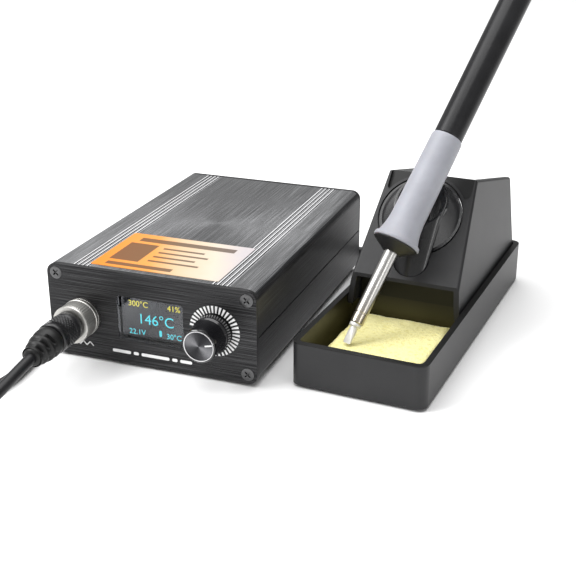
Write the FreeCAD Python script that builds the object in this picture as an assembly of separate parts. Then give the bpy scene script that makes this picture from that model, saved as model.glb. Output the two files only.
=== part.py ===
"""Digital soldering set: a station in an extruded case, its corded iron, and a stand with a sponge.

Millimetres, +X to the right, +Y to the back, +Z up. The origin is the middle of the set's
footprint, on the bench. Each piece is written to parts/NODE.step.
"""

import math
import os

import FreeCAD
import Part

V = FreeCAD.Vector
X_AXIS = V(1, 0, 0)
Y_AXIS = V(0, 1, 0)
Z_AXIS = V(0, 0, 1)

# Station case
CASE_WIDTH = 88.0
CASE_HEIGHT = 38.0
CASE_DEPTH = 130.0
CASE_CORNER = 4.0
CASE_WALL = 1.8
PANEL = 2.0
FOOT_HEIGHT = 1.2
CASE_PLACE = V(-84.0, -66.0, FOOT_HEIGHT)
SCREW_INSET = 3.9
GROOVE_STARTS = (11.5, CASE_WIDTH - 17.9)
GROOVE_STEP = 1.9
SEAM = CASE_HEIGHT / 2

# Front panel, from the case's front left bottom corner
WINDOW = (30.0, 58.0, 10.0, 28.2)
KNOB_X = 71.0
KNOB_Z = 19.9
SOCKET_X = 15.0
SOCKET_Z = 17.6

# Rear panel
INLET = (12.0, 39.0, 9.0, 29.0)
SWITCH = (52.0, 65.0, 9.3, 28.7)
ROCKER_TILT = 8.0

# Power board inside the case
BOARD_Z = 6.4
BOARD_THICK = 1.6

# Stand
STAND_WIDTH = 53.0
STAND_LENGTH = 143.0
TRAY_HEIGHT = 17.3
TRAY_WALL = 2.4
TRAY_FLOOR = 2.0
TRAY_CORNER = 4.0
STAND_PLACE = V(14.8, -59.9, FOOT_HEIGHT)
STAND_TURN = -3.9
FACE_LOW = (52.8, 27.0)
FACE_HIGH = (84.4, 61.9)
HOOD_REAR = (138.3, 48.6)
HOOD_BASE = 13.6
HOOD_BACK = 30.0
HOOD_WALL = 2.2
HOOD_INSET = 2.8
HOOD_DRAFT = 5.8
DISC_X = 25.7
DISC_RADIUS = 17.0
DISC_UP_THE_FACE = 28.4
TUBE_X = 26.9
MOUTH_UP_THE_FACE = 31.4
MOUTH_PROUD = 8.0
MOUTH_RADIUS = 10.6
MOUND_RADIUS = 16.2
FOOT_UP_THE_FACE = 8.6
FOOT_SUNK = 0.6
FOOT_RADIUS = 7.0
TUBE_WALL = 1.7
PASSAGE_RADIUS = 4.3

# Sponge
SPONGE = (6.2, 46.8, 5.6, 56.4)
SPONGE_TOP = 9.6

# Iron, by distance up its axis from the end of the tip
TIP_POINT = V(30.4, -39.2, 11.3)
IRON_AXIS = V(0.26, 0.578, 0.773).normalize()
SHEATH_RADIUS = 2.75
SHEATH_START = 8.6
CAP_START = 39.6
FLARE = 43.5
FLARE_RADIUS = 9.5
WAIST = 57.0
GRIP_RADIUS = 6.8
GRIP_END = 91.0
GRIP_END_RADIUS = 6.4
HANDLE_RADIUS = 5.9
HANDLE_END = 166.0
RELIEF_START = 170.0
RELIEF_END = 200.0

# Cord
CORD_RADIUS = 2.25
PLUG_EXIT = V(-69.0, -103.4, 17.4)
COIL_CENTRE = V(-46.0, 99.0, 0)
COIL_OUTER = 30.6
COIL_INNER = 14.6
COIL_HEIGHT = 9.6

LEAD_ROUTE = [
    (-69.0, -103.4, 17.4),
    (-69.0, -112.0, 16.2),
    (-69.6, -123.0, 13.6),
    (-72.5, -138.0, 8.6),
    (-81.5, -151.0, 4.0),
    (-95.0, -156.0, 2.4),
    (-107.5, -151.0, 2.4),
    (-112.5, -139.0, 2.4),
    (-108.0, -127.5, 2.4),
    (-97.5, -119.5, 2.4),
    (-87.4, -110.0, 2.4),
    (-84.4, -96.3, 2.4),
    (-85.8, -82.0, 2.4),
    (-88.2, -67.0, 2.4),
    (-89.0, -50.0, 2.4),
    (-89.3, -20.0, 2.4),
    (-89.0, 20.0, 2.4),
    (-89.2, 46.0, 2.4),
    (-88.2, 66.0, 2.4),
    (-80.2, 83.0, 2.4),
    (-73.4, 99.0, 2.4),
]
RUN_ROUTE = [
    (-17.0, 104.0, 2.4),
    (-17.0, 93.0, 2.4),
    (-12.0, 84.9, 2.4),
    (-3.4, 80.8, 2.4),
    (6.0, 81.8, 2.4),
    (13.9, 87.9, 2.4),
]
RISE_ROUTE = [
    (14.1, 88.1, 2.4),
    (22.0, 94.2, 2.4),
    (28.5, 99.2, 7.2),
    (33.0, 102.7, 17.1),
    (30.2, 102.6, 45.3),
    (42.6, 114.4, 78.3),
    (54.4, 125.7, 109.9),
    (66.0, 135.5, 140.3),
    (74.3, 142.6, 162.2),
    (80.5, 144.0, 181.0),
    (86.0, 132.0, 199.0),
    (90.5, 112.0, 202.0),
    (88.6, 90.3, 184.5),
]


def block(x0, x1, y0, y1, z0, z1):
    return Part.makeBox(x1 - x0, y1 - y0, z1 - z0, V(x0, y0, z0))


def rod(start, direction, radius, length):
    return Part.makeCylinder(radius, length, start, direction)


def tube(start, direction, outer, inner, length):
    return rod(start, direction, outer, length).cut(rod(start, direction, inner, length))


def joined(shapes):
    first, *others = shapes
    return first.multiFuse(others).removeSplitter() if others else first


def rounded(shape, direction, radius):
    """The shape with its straight edges along a direction rounded."""
    edges = [
        e
        for e in shape.Edges
        if isinstance(e.Curve, Part.Line) and abs(abs(e.Curve.Direction.dot(direction)) - 1) < 1e-6
    ]
    return shape.makeFillet(radius, edges)


def turned(outline, start, direction):
    """A solid of revolution from (radius, distance) points or arcs, about an axis."""
    edges = []
    here = outline[0]
    for step in outline[1:] + [outline[0]]:
        a = V(here[0], 0, here[1])
        b = V(step[-2], 0, step[-1])
        if len(step) == 4:
            edges.append(Part.Arc(a, V(step[0], 0, step[1]), b).toShape())
        elif (a - b).Length > 1e-9:
            edges.append(Part.LineSegment(a, b).toShape())
        here = (step[-2], step[-1])
    solid = Part.Face(Part.Wire(edges)).revolve(V(0, 0, 0), Z_AXIS, 360)
    solid.Placement = FreeCAD.Placement(start, FreeCAD.Rotation(Z_AXIS, direction))
    return solid


def plate_y(limits, corner, y0, y1):
    """A plate across Y, with its four corners rounded."""
    x0, x1, z0, z1 = limits
    return rounded(block(x0, x1, y0, y1, z0, z1), Y_AXIS, corner)


def hexagon(x, z, across_flats, y0, y1):
    reach = across_flats / math.sqrt(3)
    turns = [math.radians(60 * i + 30) for i in range(7)]
    points = [V(x + reach * math.cos(t), y0, z + reach * math.sin(t)) for t in turns]
    return Part.Face(Part.makePolygon(points)).extrude(V(0, y1 - y0, 0))


def put_case(shape):
    """Moves a shape from the case's own corner to its place on the bench."""
    moved = shape.copy()
    moved.translate(CASE_PLACE)
    return moved


def put_stand(shape):
    moved = shape.copy()
    moved.rotate(V(0, 0, 0), Z_AXIS, STAND_TURN)
    moved.translate(STAND_PLACE)
    return moved


def up_iron(distance):
    return TIP_POINT + IRON_AXIS * distance


# ---------------------------------------------------------------- case


def screw_places():
    ends = (SCREW_INSET, CASE_WIDTH - SCREW_INSET)
    levels = (SCREW_INSET, CASE_HEIGHT - SCREW_INSET)
    return [(x, z) for x in ends for z in levels]


def case_tube():
    """The whole extrusion, before it is parted at its seam."""
    y0 = PANEL
    y1 = CASE_DEPTH - PANEL
    outer = plate_y((0, CASE_WIDTH, 0, CASE_HEIGHT), CASE_CORNER, y0, y1)
    wall = CASE_WALL
    inner = plate_y((wall, CASE_WIDTH - wall, wall, CASE_HEIGHT - wall), CASE_CORNER - wall, y0, y1)
    ribs = [rod(V(x, y0, z), Y_AXIS, 2.5, y1 - y0) for x, z in screw_places()]
    for x0 in (wall - 0.1, CASE_WIDTH - wall - 1.7):
        ribs.append(block(x0, x0 + 1.8, y0, y1, BOARD_Z - 1.2, BOARD_Z - 0.1))
        ribs.append(block(x0, x0 + 1.8, y0, y1, BOARD_Z + BOARD_THICK + 0.1, BOARD_Z + BOARD_THICK + 1.2))
    shape = joined([outer.cut(inner)] + ribs)
    for x, z in screw_places():
        shape = shape.cut(rod(V(x, y0, z), Y_AXIS, 1.25, y1 - y0))
    for x0 in GROOVE_STARTS:
        for i in range(4):
            x = x0 + i * GROOVE_STEP
            shape = shape.cut(block(x, x + 0.7, y0, y1, CASE_HEIGHT - 0.35, CASE_HEIGHT))
    for x in (0, CASE_WIDTH - 0.35):
        shape = shape.cut(block(x, x + 0.35, y0, y1, SEAM - 0.3, SEAM + 0.3))
    return shape


def case_halves():
    shape = case_tube()
    upper = shape.common(block(-1, CASE_WIDTH + 1, 0, CASE_DEPTH, SEAM, CASE_HEIGHT + 1))
    lower = shape.common(block(-1, CASE_WIDTH + 1, 0, CASE_DEPTH, -1, SEAM))
    return upper, lower


def panel_with_screw_holes(y0, outward):
    panel = plate_y((0, CASE_WIDTH, 0, CASE_HEIGHT), CASE_CORNER, y0, y0 + PANEL)
    face = y0 if outward < 0 else y0 + PANEL
    for x, z in screw_places():
        start = V(x, face, z)
        inward = Y_AXIS * -outward
        panel = panel.cut(rod(start, inward, 1.3, PANEL))
        panel = panel.cut(Part.makeCone(2.75, 1.3, 1.45, start, inward))
    return panel


def front_panel():
    panel = panel_with_screw_holes(0, -1)
    panel = panel.cut(plate_y(WINDOW, 1.2, 0, PANEL))
    panel = panel.cut(rod(V(KNOB_X, 0, KNOB_Z), Y_AXIS, 3.6, PANEL))
    return panel.cut(rod(V(SOCKET_X, 0, SOCKET_Z), Y_AXIS, 6.1, PANEL))


def rear_panel():
    panel = panel_with_screw_holes(CASE_DEPTH - PANEL, 1)
    panel = panel.cut(plate_y(INLET, 1.0, CASE_DEPTH - PANEL, CASE_DEPTH))
    return panel.cut(plate_y(SWITCH, 0.6, CASE_DEPTH - PANEL, CASE_DEPTH))


def panel_screw(x, z, face, inward):
    """A countersunk machine screw with a cross recess."""
    start = V(x, face, z)
    head = Part.makeCone(2.6, 1.2, 1.4, start, inward)
    shank = rod(start, inward, 1.2, 9.0)
    screw = head.fuse(shank)
    for turn in (45, 135):
        slot = block(-1.5, 1.5, 0, 1.0, -0.28, 0.28)
        slot.rotate(V(0, 0, 0), Y_AXIS, turn)
        slot.translate(start if inward.y > 0 else start - Y_AXIS)
        screw = screw.cut(slot)
    return screw


def panel_screws(face, inward):
    return [panel_screw(x, z, face, inward) for x, z in screw_places()]


def case_feet():
    places = [(x, y) for x in (11, CASE_WIDTH - 11) for y in (13, CASE_DEPTH - 13)]
    return [rod(V(x, y, -FOOT_HEIGHT), Z_AXIS, 5.0, FOOT_HEIGHT) for x, y in places]


def top_label():
    label = rounded(block(17.0, 71.0, 4.5, 41.5, CASE_HEIGHT, CASE_HEIGHT + 0.15), Z_AXIS, 0.8)
    return label


# ---------------------------------------------------------------- behind the front panel


def display_window():
    x0, x1, z0, z1 = WINDOW
    front = plate_y((x0 + 0.1, x1 - 0.1, z0 + 0.1, z1 - 0.1), 1.1, 0.15, PANEL)
    return front.fuse(plate_y((x0 - 1.4, x1 + 1.4, z0 - 1.4, z1 + 1.4), 1.5, PANEL, PANEL + 0.8))


def display_module():
    x0, x1, z0, z1 = WINDOW
    glass = block(x0 - 1.2, x1 + 1.2, 3.0, 4.5, z0 - 1.2, z1 + 1.2)
    board = block(x0 - 1.4, x1 + 1.4, 4.5, 5.7, z0 - 5.0, z1 + 4.6)
    posts = [
        rod(V(x, 5.7, z), Y_AXIS, 1.0, 4.3)
        for x in (x0 + 0.6, x1 - 0.6)
        for z in (z0 - 3.4, z1 + 3.0)
    ]
    return joined([glass, board] + posts)


def control_board():
    board = block(27.0, 81.0, 10.0, 11.6, 3.0, 35.0)
    for x in (30.6, 57.4):
        for z in (WINDOW[2] - 3.4, WINDOW[3] + 3.0):
            board = board.cut(rod(V(x, 10.0, z), Y_AXIS, 0.6, 1.6))
    return board


def board_chips():
    chips = [
        (36, 43, 18, 25, 1.2),
        (48, 53, 20, 24, 1.6),
        (48, 53, 12, 16, 1.6),
        (61, 68, 6, 11, 2.3),
        (70, 77, 24, 31, 3.2),
        (34, 46, 6, 12, 7.0),
    ]
    return [block(x0, x1, 11.6, 11.6 + high, z0, z1) for x0, x1, z0, z1, high in chips]


def knob_axis_point(y):
    return V(KNOB_X, y, KNOB_Z)


def encoder_body():
    body = block(KNOB_X - 6.2, KNOB_X + 6.2, 3.4, 10.0, KNOB_Z - 6.6, KNOB_Z + 6.6)
    body = body.fuse(rod(knob_axis_point(-3.6), Y_AXIS, 3.5, 7.1))
    body = body.cut(rod(knob_axis_point(-3.6), Y_AXIS, 3.06, 12.7))
    return body.cut(rod(knob_axis_point(5.0), Y_AXIS, 5.08, 3.4))


def encoder_nut():
    return hexagon(KNOB_X, KNOB_Z, 10.0, -2.0, 0).cut(rod(knob_axis_point(-2.0), Y_AXIS, 3.55, 2.0))


def d_section(radius, flat, y0, y1):
    """A round bar with one flat, on the knob's axis."""
    bar = rod(knob_axis_point(y0), Y_AXIS, radius, y1 - y0)
    side = block(KNOB_X - 9, KNOB_X + flat, y0 - 1, y1 + 1, KNOB_Z - 9, KNOB_Z + 9)
    return bar.common(side)


def encoder_rotor():
    wheel = rod(knob_axis_point(5.3), Y_AXIS, 5.0, 2.8)
    return wheel.cut(d_section(3.05, 1.55, 5.0, 8.4))


def encoder_shaft():
    round_part = rod(knob_axis_point(-4.4), Y_AXIS, 3.0, 7.4)
    return joined([round_part, d_section(3.0, 1.5, -13.0, -4.4), d_section(3.0, 1.5, 3.0, 8.2)])


def knob():
    outline = [
        (0, -14.0),
        (6.05, -14.0),
        (6.05, -14.4),
        (6.45, -14.4),
        (6.7, -14.1),
        (6.75, -5.4),
        (7.3, -4.6),
        (7.3, -1.4),
        (7.1, -1.2),
        (6.2, -1.2),
        (6.2, -4.6),
        (0, -4.6),
    ]
    body = turned(outline, knob_axis_point(0), Y_AXIS)
    body = body.cut(d_section(3.02, 1.52, -13.0, -4.0))
    return body.cut(rod(V(KNOB_X, -7.4, KNOB_Z + 2.5), Z_AXIS, 1.5, 6.0))


def knob_face():
    outline = [(0, -14.45), (5.4, -14.45), (6.0, -14.3), (6.0, -14.0), (0, -14.0)]
    return turned(outline, knob_axis_point(0), Y_AXIS)


def knob_grub_screw():
    screw = rod(V(KNOB_X, -7.4, KNOB_Z + 3.05), Z_AXIS, 1.48, 3.0)
    reach = 0.75 / math.cos(math.radians(30))
    turns = [math.radians(60 * i) for i in range(7)]
    points = [V(KNOB_X + reach * math.cos(t), -7.4 + reach * math.sin(t), KNOB_Z + 4.8) for t in turns]
    return screw.cut(Part.Face(Part.makePolygon(points)).extrude(V(0, 0, 3)))


# ---------------------------------------------------------------- iron's socket and plug


def socket_axis_point(y):
    return V(SOCKET_X, y, SOCKET_Z)


def pin_places():
    turns = [math.radians(72 * i + 90) for i in range(5)]
    return [(SOCKET_X + 2.5 * math.cos(t), SOCKET_Z + 2.5 * math.sin(t)) for t in turns]


def socket_body():
    outline = [(4.6, -8.0), (5.7, -8.0), (5.7, -1.6), (7.6, -1.6), (7.6, 0), (6.0, 0), (6.0, 9.0), (4.6, 9.0)]
    return turned(outline, socket_axis_point(0), Y_AXIS)


def socket_nut():
    return hexagon(SOCKET_X, SOCKET_Z, 14.6, 2.0, 4.6).cut(rod(socket_axis_point(2), Y_AXIS, 6.05, 3.0))


def socket_insert():
    shape = rod(socket_axis_point(-2.0), Y_AXIS, 4.58, 10.0)
    for x, z in pin_places():
        shape = shape.cut(rod(V(x, -2.0, z), Y_AXIS, 0.47, 10.0))
    return shape


def socket_pins():
    return [rod(V(x, -6.4, z), Y_AXIS, 0.45, 17.0) for x, z in pin_places()]


def coupling_ring():
    outline = [(5.78, -9.5), (4.9, -9.5), (4.9, -10.3), (7.4, -10.3), (7.8, -10.0), (7.8, -2.2), (7.5, -1.9), (5.78, -1.9)]
    return turned(outline, socket_axis_point(0), Y_AXIS)


def plug_shell():
    outline = [
        (4.0, -9.4),
        (5.6, -9.4),
        (5.6, -8.1),
        (4.2, -8.1),
        (4.2, -7.6),
        (4.0, -7.6),
    ]
    collar = turned(outline, socket_axis_point(0), Y_AXIS)
    neck = tube(socket_axis_point(-10.6), Y_AXIS, 4.8, 4.0, 1.2)
    body = turned(
        [(4.0, -24.0), (6.1, -24.0), (6.4, -23.6), (6.4, -11.0), (6.0, -10.5), (4.0, -10.5)],
        socket_axis_point(0),
        Y_AXIS,
    )
    return joined([collar, neck, body])


def plug_insert():
    shape = rod(socket_axis_point(-20.0), Y_AXIS, 3.9, 17.8)
    for x, z in pin_places():
        shape = shape.cut(rod(V(x, -7.4, z), Y_AXIS, 0.6, 5.3))
    return shape


def boot_axis():
    """Where the plug's boot ends, and the way it leans down from the plug."""
    start = socket_axis_point(-24.0)
    end = PLUG_EXIT - CASE_PLACE
    return start, end


def plug_boot():
    start, end = boot_axis()
    lean = end - start
    length = lean.Length
    collar = rod(socket_axis_point(-27.0), Y_AXIS, 6.2, 3.0)
    outline = [(0, 1.0), (5.9, 1.0)]
    for i in range(3):
        s = 4.4 + 2.7 * i
        radius = 5.9 - 0.62 * i
        outline += [(radius - 0.15, s), (radius - 1.1, s), (radius - 1.2, s + 1.1), (radius - 0.3, s + 1.1)]
    outline += [(4.1, length - 1.6), (3.4, length), (0, length)]
    cone = turned(outline, start, lean)
    return joined([collar, cone.cut(block(-50, 80, -24.0, 20, -50, 80))])


# ---------------------------------------------------------------- power supply and rear panel


def power_board():
    return block(2.1, CASE_WIDTH - 2.1, 30.0, 110.0, BOARD_Z, BOARD_Z + BOARD_THICK)


def power_parts():
    """The supply's pieces, standing on its board."""
    z = BOARD_Z + BOARD_THICK
    core = joined([
        block(36, 62, 60, 66, z + 1.5, z + 21),
        block(36, 62, 78, 84, z + 1.5, z + 21),
        block(45, 53, 66, 78, z + 6, z + 16),
    ])
    winding = rounded(block(38.5, 59.5, 66.2, 77.8, z, z + 21.5), Z_AXIS, 2.0)
    winding = winding.cut(block(44.9, 53.1, 66, 78, z + 5.9, z + 16.1))
    input_capacitor = turned(
        [(0, 0), (7.9, 0), (7.9, 22.4), (7.2, 23), (0, 23)], V(18, 84, z), Z_AXIS
    )
    output_capacitors = [
        turned([(0, 0), (4.9, 0), (4.9, 18.6), (4.4, 19), (0, 19)], V(x, 42, z), Z_AXIS)
        for x in (26, 38, 50)
    ]
    sinks = []
    for y in (54.0, 92.0):
        fins = [block(64 + 3.4 * i, 65 + 3.4 * i, y - 5, y, z, z + 20) for i in range(6)]
        sinks.append(joined([block(64, 82, y, y + 1.6, z, z + 20)] + fins))
    fuse = joined([
        rod(V(8, 104, z + 3.2), X_AXIS, 2.3, 20.0),
        rod(V(8, 104, z + 3.2), X_AXIS, 2.6, 5.0),
        rod(V(23, 104, z + 3.2), X_AXIS, 2.6, 5.0),
        block(9, 12, 102.6, 105.4, z, z + 2.0),
        block(24, 27, 102.6, 105.4, z, z + 2.0),
    ])
    return {
        "transformer_core": [core],
        "transformer_winding": [winding],
        "input_capacitor": [input_capacitor],
        "output_capacitors": output_capacitors,
        "heat_sinks": sinks,
        "line_fuse": [fuse],
    }


def mains_inlet():
    x0, x1, z0, z1 = INLET
    y = CASE_DEPTH
    body = plate_y((x0 + 0.1, x1 - 0.1, z0 + 0.1, z1 - 0.1), 0.9, y - 15, y)
    flange = plate_y((x0 - 1.8, x1 + 1.8, z0 - 1.6, z1 + 1.6), 2.0, y, y + 2.0)
    cavity = plate_y((x0 + 1.5, x1 - 1.5, z0 + 2.0, z1 - 2.0), 1.5, y - 13, y + 2.0)
    shape = body.fuse(flange).cut(cavity)
    for x, z in inlet_pin_places():
        shape = shape.cut(block(x - 1.05, x + 1.05, y - 15, y - 13, z - 2.05, z + 2.05))
    return shape


def inlet_pin_places():
    x0, x1, z0, z1 = INLET
    middle = (x0 + x1) / 2
    return [(middle - 7, 17.6), (middle, 21.2), (middle + 7, 17.6)]


def inlet_pins():
    y = CASE_DEPTH
    return [block(x - 1, x + 1, y - 19, y - 3, z - 2, z + 2) for x, z in inlet_pin_places()]


def switch_pivot():
    x0, x1, z0, z1 = SWITCH
    return V((x0 + x1) / 2, CASE_DEPTH - 1.2, (z0 + z1) / 2)


def switch_housing():
    x0, x1, z0, z1 = SWITCH
    y = CASE_DEPTH
    body = plate_y((x0 + 0.1, x1 - 0.1, z0 + 0.1, z1 - 0.1), 0.5, y - 13, y)
    flange = plate_y((x0 - 1.0, x1 + 1.0, z0 - 1.0, z1 + 1.0), 1.0, y, y + 1.6)
    pivot = switch_pivot()
    cavity = block(x0 + 1.3, x1 - 1.3, y - 8.6, y + 1.6, pivot.z - 8.7, pivot.z + 8.7)
    pins = rod(V(x0 + 0.1, pivot.y, pivot.z), X_AXIS, 1.06, x1 - x0 - 0.2)
    return body.fuse(flange).cut(cavity).cut(pins)


def power_rocker():
    x0, x1, z0, z1 = SWITCH
    pivot = switch_pivot()
    outline = [(-3.0, -4.0), (-3.0, 4.0), (2.6, 7.6), (4.0, 7.3), (2.2, 0), (4.0, -7.3), (2.6, -7.6)]
    points = [V(x0 + 1.5, pivot.y + y, pivot.z + z) for y, z in outline]
    body = Part.Face(Part.makePolygon(points + points[:1])).extrude(V(x1 - x0 - 3.0, 0, 0))
    rocker = body.fuse(rod(V(x0 + 0.4, pivot.y, pivot.z), X_AXIS, 1.0, x1 - x0 - 0.8))
    rocker.rotate(pivot, X_AXIS, ROCKER_TILT)
    return rocker


# ---------------------------------------------------------------- stand


FACE_RISE = V(0, FACE_HIGH[0] - FACE_LOW[0], FACE_HIGH[1] - FACE_LOW[1])
FACE_LENGTH = FACE_RISE.Length
FACE_UP = V(FACE_RISE).normalize()
FACE_OUT = V(0, -FACE_UP.z, FACE_UP.y)


def on_face(x, up, out):
    """A point by its distance up the holder's sloping face and out of it."""
    return V(x, FACE_LOW[0], FACE_LOW[1]) + FACE_UP * up + FACE_OUT * out


def tray():
    outer = rounded(block(0, STAND_WIDTH, 0, STAND_LENGTH, 0, TRAY_HEIGHT), Z_AXIS, TRAY_CORNER)
    wall = TRAY_WALL
    inner = block(wall, STAND_WIDTH - wall, wall, STAND_LENGTH - wall, TRAY_FLOOR, TRAY_HEIGHT)
    shape = outer.cut(rounded(inner, Z_AXIS, TRAY_CORNER - wall + 0.6))
    partition = block(wall - 0.1, STAND_WIDTH - wall + 0.1, 57.0, 59.0, TRAY_FLOOR - 0.1, HOOD_BASE)
    middle = block(6.8, STAND_WIDTH - 6.8, 57.0, 59.0, HOOD_BASE - 0.1, 25.0)
    ledges = [
        block(x, x + 2.2, 62.0, STAND_LENGTH - wall + 0.1, TRAY_FLOOR - 0.1, HOOD_BASE)
        for x in (wall - 0.1, STAND_WIDTH - wall - 2.1)
    ]
    return joined([shape, partition, middle] + ledges)


def hood_prism(points, inset):
    """A prism on the hood's side outline, with both sides leaning in."""
    corners = [V(-5, y, z) for y, z in points]
    prism = Part.Face(Part.makePolygon(corners + corners[:1])).extrude(V(STAND_WIDTH + 10, 0, 0))
    lean = math.tan(math.radians(HOOD_DRAFT))
    low, high = -10.0, 80.0
    left = [V(inset + lean * (z - HOOD_BASE), -10, z) for z in (low, high)]
    right = [V(STAND_WIDTH - inset - lean * (z - HOOD_BASE), -10, z) for z in (high, low)]
    corners = left + right
    keep = Part.Face(Part.makePolygon(corners + corners[:1])).extrude(V(0, STAND_LENGTH + 20, 0))
    return prism.common(keep)


def holder_hood():
    """The sloping holder: a face between two cheeks, open above and below, with a low back."""
    outline = [(51.4, HOOD_BASE), (51.4, 19.6), FACE_LOW, FACE_HIGH, HOOD_REAR, (139.8, HOOD_BASE)]
    outer = hood_prism(outline, HOOD_INSET)
    edges = [
        e
        for e in outer.Edges
        if e.BoundBox.ZMin > 19.0 and e.BoundBox.YLength > 8.0 and e.BoundBox.XLength < 5.0
    ]
    outer = outer.makeFillet(1.2, edges)
    w = HOOD_WALL
    drop = w / FACE_UP.y
    inside = [
        (46.0, 5.0),
        (46.0, FACE_LOW[1] - 1.6),
        (FACE_LOW[0] - 0.4, FACE_LOW[1] - 1.6),
        (FACE_HIGH[0] + 0.2, FACE_HIGH[1] - drop),
        (HOOD_REAR[0] - w, HOOD_REAR[1] - w - 0.2),
        (139.8 - w, 5.0),
    ]
    open_top = [(84.6, 58.2), (88.6, 62.6), (88.6, 80), (160, 80), (160, HOOD_BACK), (100, HOOD_BACK)]
    hood = outer.cut(hood_prism(inside, HOOD_INSET + w)).cut(hood_prism(open_top, HOOD_INSET + w))
    inward = FACE_OUT * -1
    hood = hood.cut(rod(on_face(DISC_X, DISC_UP_THE_FACE, 3), inward, DISC_RADIUS + 0.12, 12))
    hood = hood.cut(rod(on_face(DISC_X, DISC_UP_THE_FACE, 3), inward, DISC_RADIUS + 0.7, 3.9))
    hood = hood.cut(rod(on_face(TUBE_X, FOOT_UP_THE_FACE + 0.1, 3), inward, FOOT_RADIUS + 0.35, 12))
    return hood.cut(corner_pockets())


def corner_pockets():
    """Two shallow recesses in the face's upper corners, open at its top edge."""
    pockets = []
    spare = rod(on_face(DISC_X, DISC_UP_THE_FACE, 4), FACE_OUT * -1, DISC_RADIUS + 1.8, 12)
    for side in (-1, 1):
        centre = on_face(STAND_WIDTH / 2 + side * 11.3, FACE_LENGTH - 1.0, 3.0)
        pocket = block(-6.4, 6.4, -8.0, 8.0, -4.5, 0)
        pocket = rounded(pocket, Z_AXIS, 2.2)
        pocket.Placement = FreeCAD.Placement(centre, FreeCAD.Rotation(X_AXIS, FACE_UP, FACE_OUT, "XYZ"))
        pockets.append(pocket.cut(spare))
    return pockets[0].fuse(pockets[1])


def face_circle(x, up, out, radius):
    return Part.Wire([Part.makeCircle(radius, on_face(x, up, out), FACE_OUT)])


def along_tube(part_way, thinner):
    """The circle at a part of the way along the receptacle's tube, from its foot to its mouth."""
    up = FOOT_UP_THE_FACE + (MOUTH_UP_THE_FACE - FOOT_UP_THE_FACE) * part_way
    out = -FOOT_SUNK + (MOUTH_PROUD + FOOT_SUNK) * part_way
    radius = FOOT_RADIUS + (MOUTH_RADIUS - FOOT_RADIUS) * part_way
    return face_circle(TUBE_X, up, out, radius - thinner)


def iron_receptacle():
    """The round insert with the tube that takes the iron, and the passage down through it."""
    disc = rod(on_face(DISC_X, DISC_UP_THE_FACE, -2.0), FACE_OUT, DISC_RADIUS, 2.0)
    mound = Part.makeLoft(
        [
            face_circle(DISC_X, DISC_UP_THE_FACE + 0.2, -0.2, MOUND_RADIUS),
            face_circle(TUBE_X, MOUTH_UP_THE_FACE, MOUTH_PROUD - 0.9, MOUTH_RADIUS + 0.7),
        ],
        True,
    )
    tube_skin = Part.makeLoft([along_tube(0, 0), along_tube(1, 0)], True)
    hollow = Part.makeLoft([along_tube(0.12, TUBE_WALL), along_tube(1.02, TUBE_WALL)], True)
    lip = rod(on_face(TUBE_X, MOUTH_UP_THE_FACE, MOUTH_PROUD - 0.8), FACE_OUT, MOUTH_RADIUS - 0.9, 1.0)
    passage = rod(on_face(TUBE_X, MOUTH_UP_THE_FACE, MOUTH_PROUD + 1), Z_AXIS * -1, PASSAGE_RADIUS, 40.0)
    return disc.fuse(mound).fuse(tube_skin).cut(hollow).cut(lip).cut(passage)


def sponge():
    x0, x1, y0, y1 = SPONGE
    pad = block(x0, x1, y0, y1, TRAY_FLOOR, SPONGE_TOP)
    return rounded(pad, Z_AXIS, 2.0)


def stand_feet():
    places = [(x, y) for x in (8, STAND_WIDTH - 8) for y in (9, STAND_LENGTH - 9)]
    return [rod(V(x, y, -FOOT_HEIGHT), Z_AXIS, 4.0, FOOT_HEIGHT) for x, y in places]


# ---------------------------------------------------------------- iron


def iron_turned(outline):
    return turned(outline, TIP_POINT, IRON_AXIS)


def iron_tube(outer, inner, s0, s1):
    return tube(up_iron(s0), IRON_AXIS, outer, inner, s1 - s0)


def tip():
    """The plated end: a round neck drawn out to a flat chisel blade."""
    neck = Part.Wire([Part.makeCircle(1.5, V(0, 0, 7.0), Z_AXIS)])
    blade_points = [V(-1.7, -0.35, 0), V(1.7, -0.35, 0), V(1.7, 0.35, 0), V(-1.7, 0.35, 0)]
    end = Part.makePolygon(blade_points + blade_points[:1])
    middle = Part.Wire([Part.Ellipse(V(0, 0, 4.6), 1.8, 1.3).toShape()])
    blade = Part.makeLoft([end, middle], True, True)
    cone = Part.makeLoft([middle, neck], True, True)
    collar = turned([(0, 7.0), (2.2, 7.0), (2.4, 7.3), (2.4, 8.3), (2.0, 8.6), (0, 8.6)], V(0, 0, 0), Z_AXIS)
    shank = rod(V(0, 0, 8.6), Z_AXIS, 2.25, 4.4)
    body = joined([blade, cone, collar, shank])
    body.Placement = FreeCAD.Placement(TIP_POINT, blade_rotation())
    return body


def blade_rotation():
    """The iron's axis for the blade's length, with the blade's width level."""
    across = V(IRON_AXIS.y, -IRON_AXIS.x, 0).normalize()
    return FreeCAD.Rotation(across, IRON_AXIS.cross(across), IRON_AXIS, "ZXY")


def front_cap():
    return iron_turned([(2.9, CAP_START), (3.9, CAP_START), (4.3, CAP_START + 0.4), (9.1, FLARE - 0.4),
                        (9.1, FLARE), (4.15, FLARE), (4.15, FLARE + 4.0), (2.9, FLARE + 4.0)])


def grip():
    return iron_turned([
        (5.32, FLARE + 0.05),
        (FLARE_RADIUS - 0.2, FLARE + 0.05),
        (FLARE_RADIUS + 0.06, FLARE + 0.25, FLARE_RADIUS - 0.1, FLARE + 0.7),
        (7.25, FLARE + 6.0, GRIP_RADIUS, WAIST),
        (GRIP_END_RADIUS, GRIP_END - 0.6),
        (GRIP_END_RADIUS - 0.5, GRIP_END),
        (5.32, GRIP_END),
    ])


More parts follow.
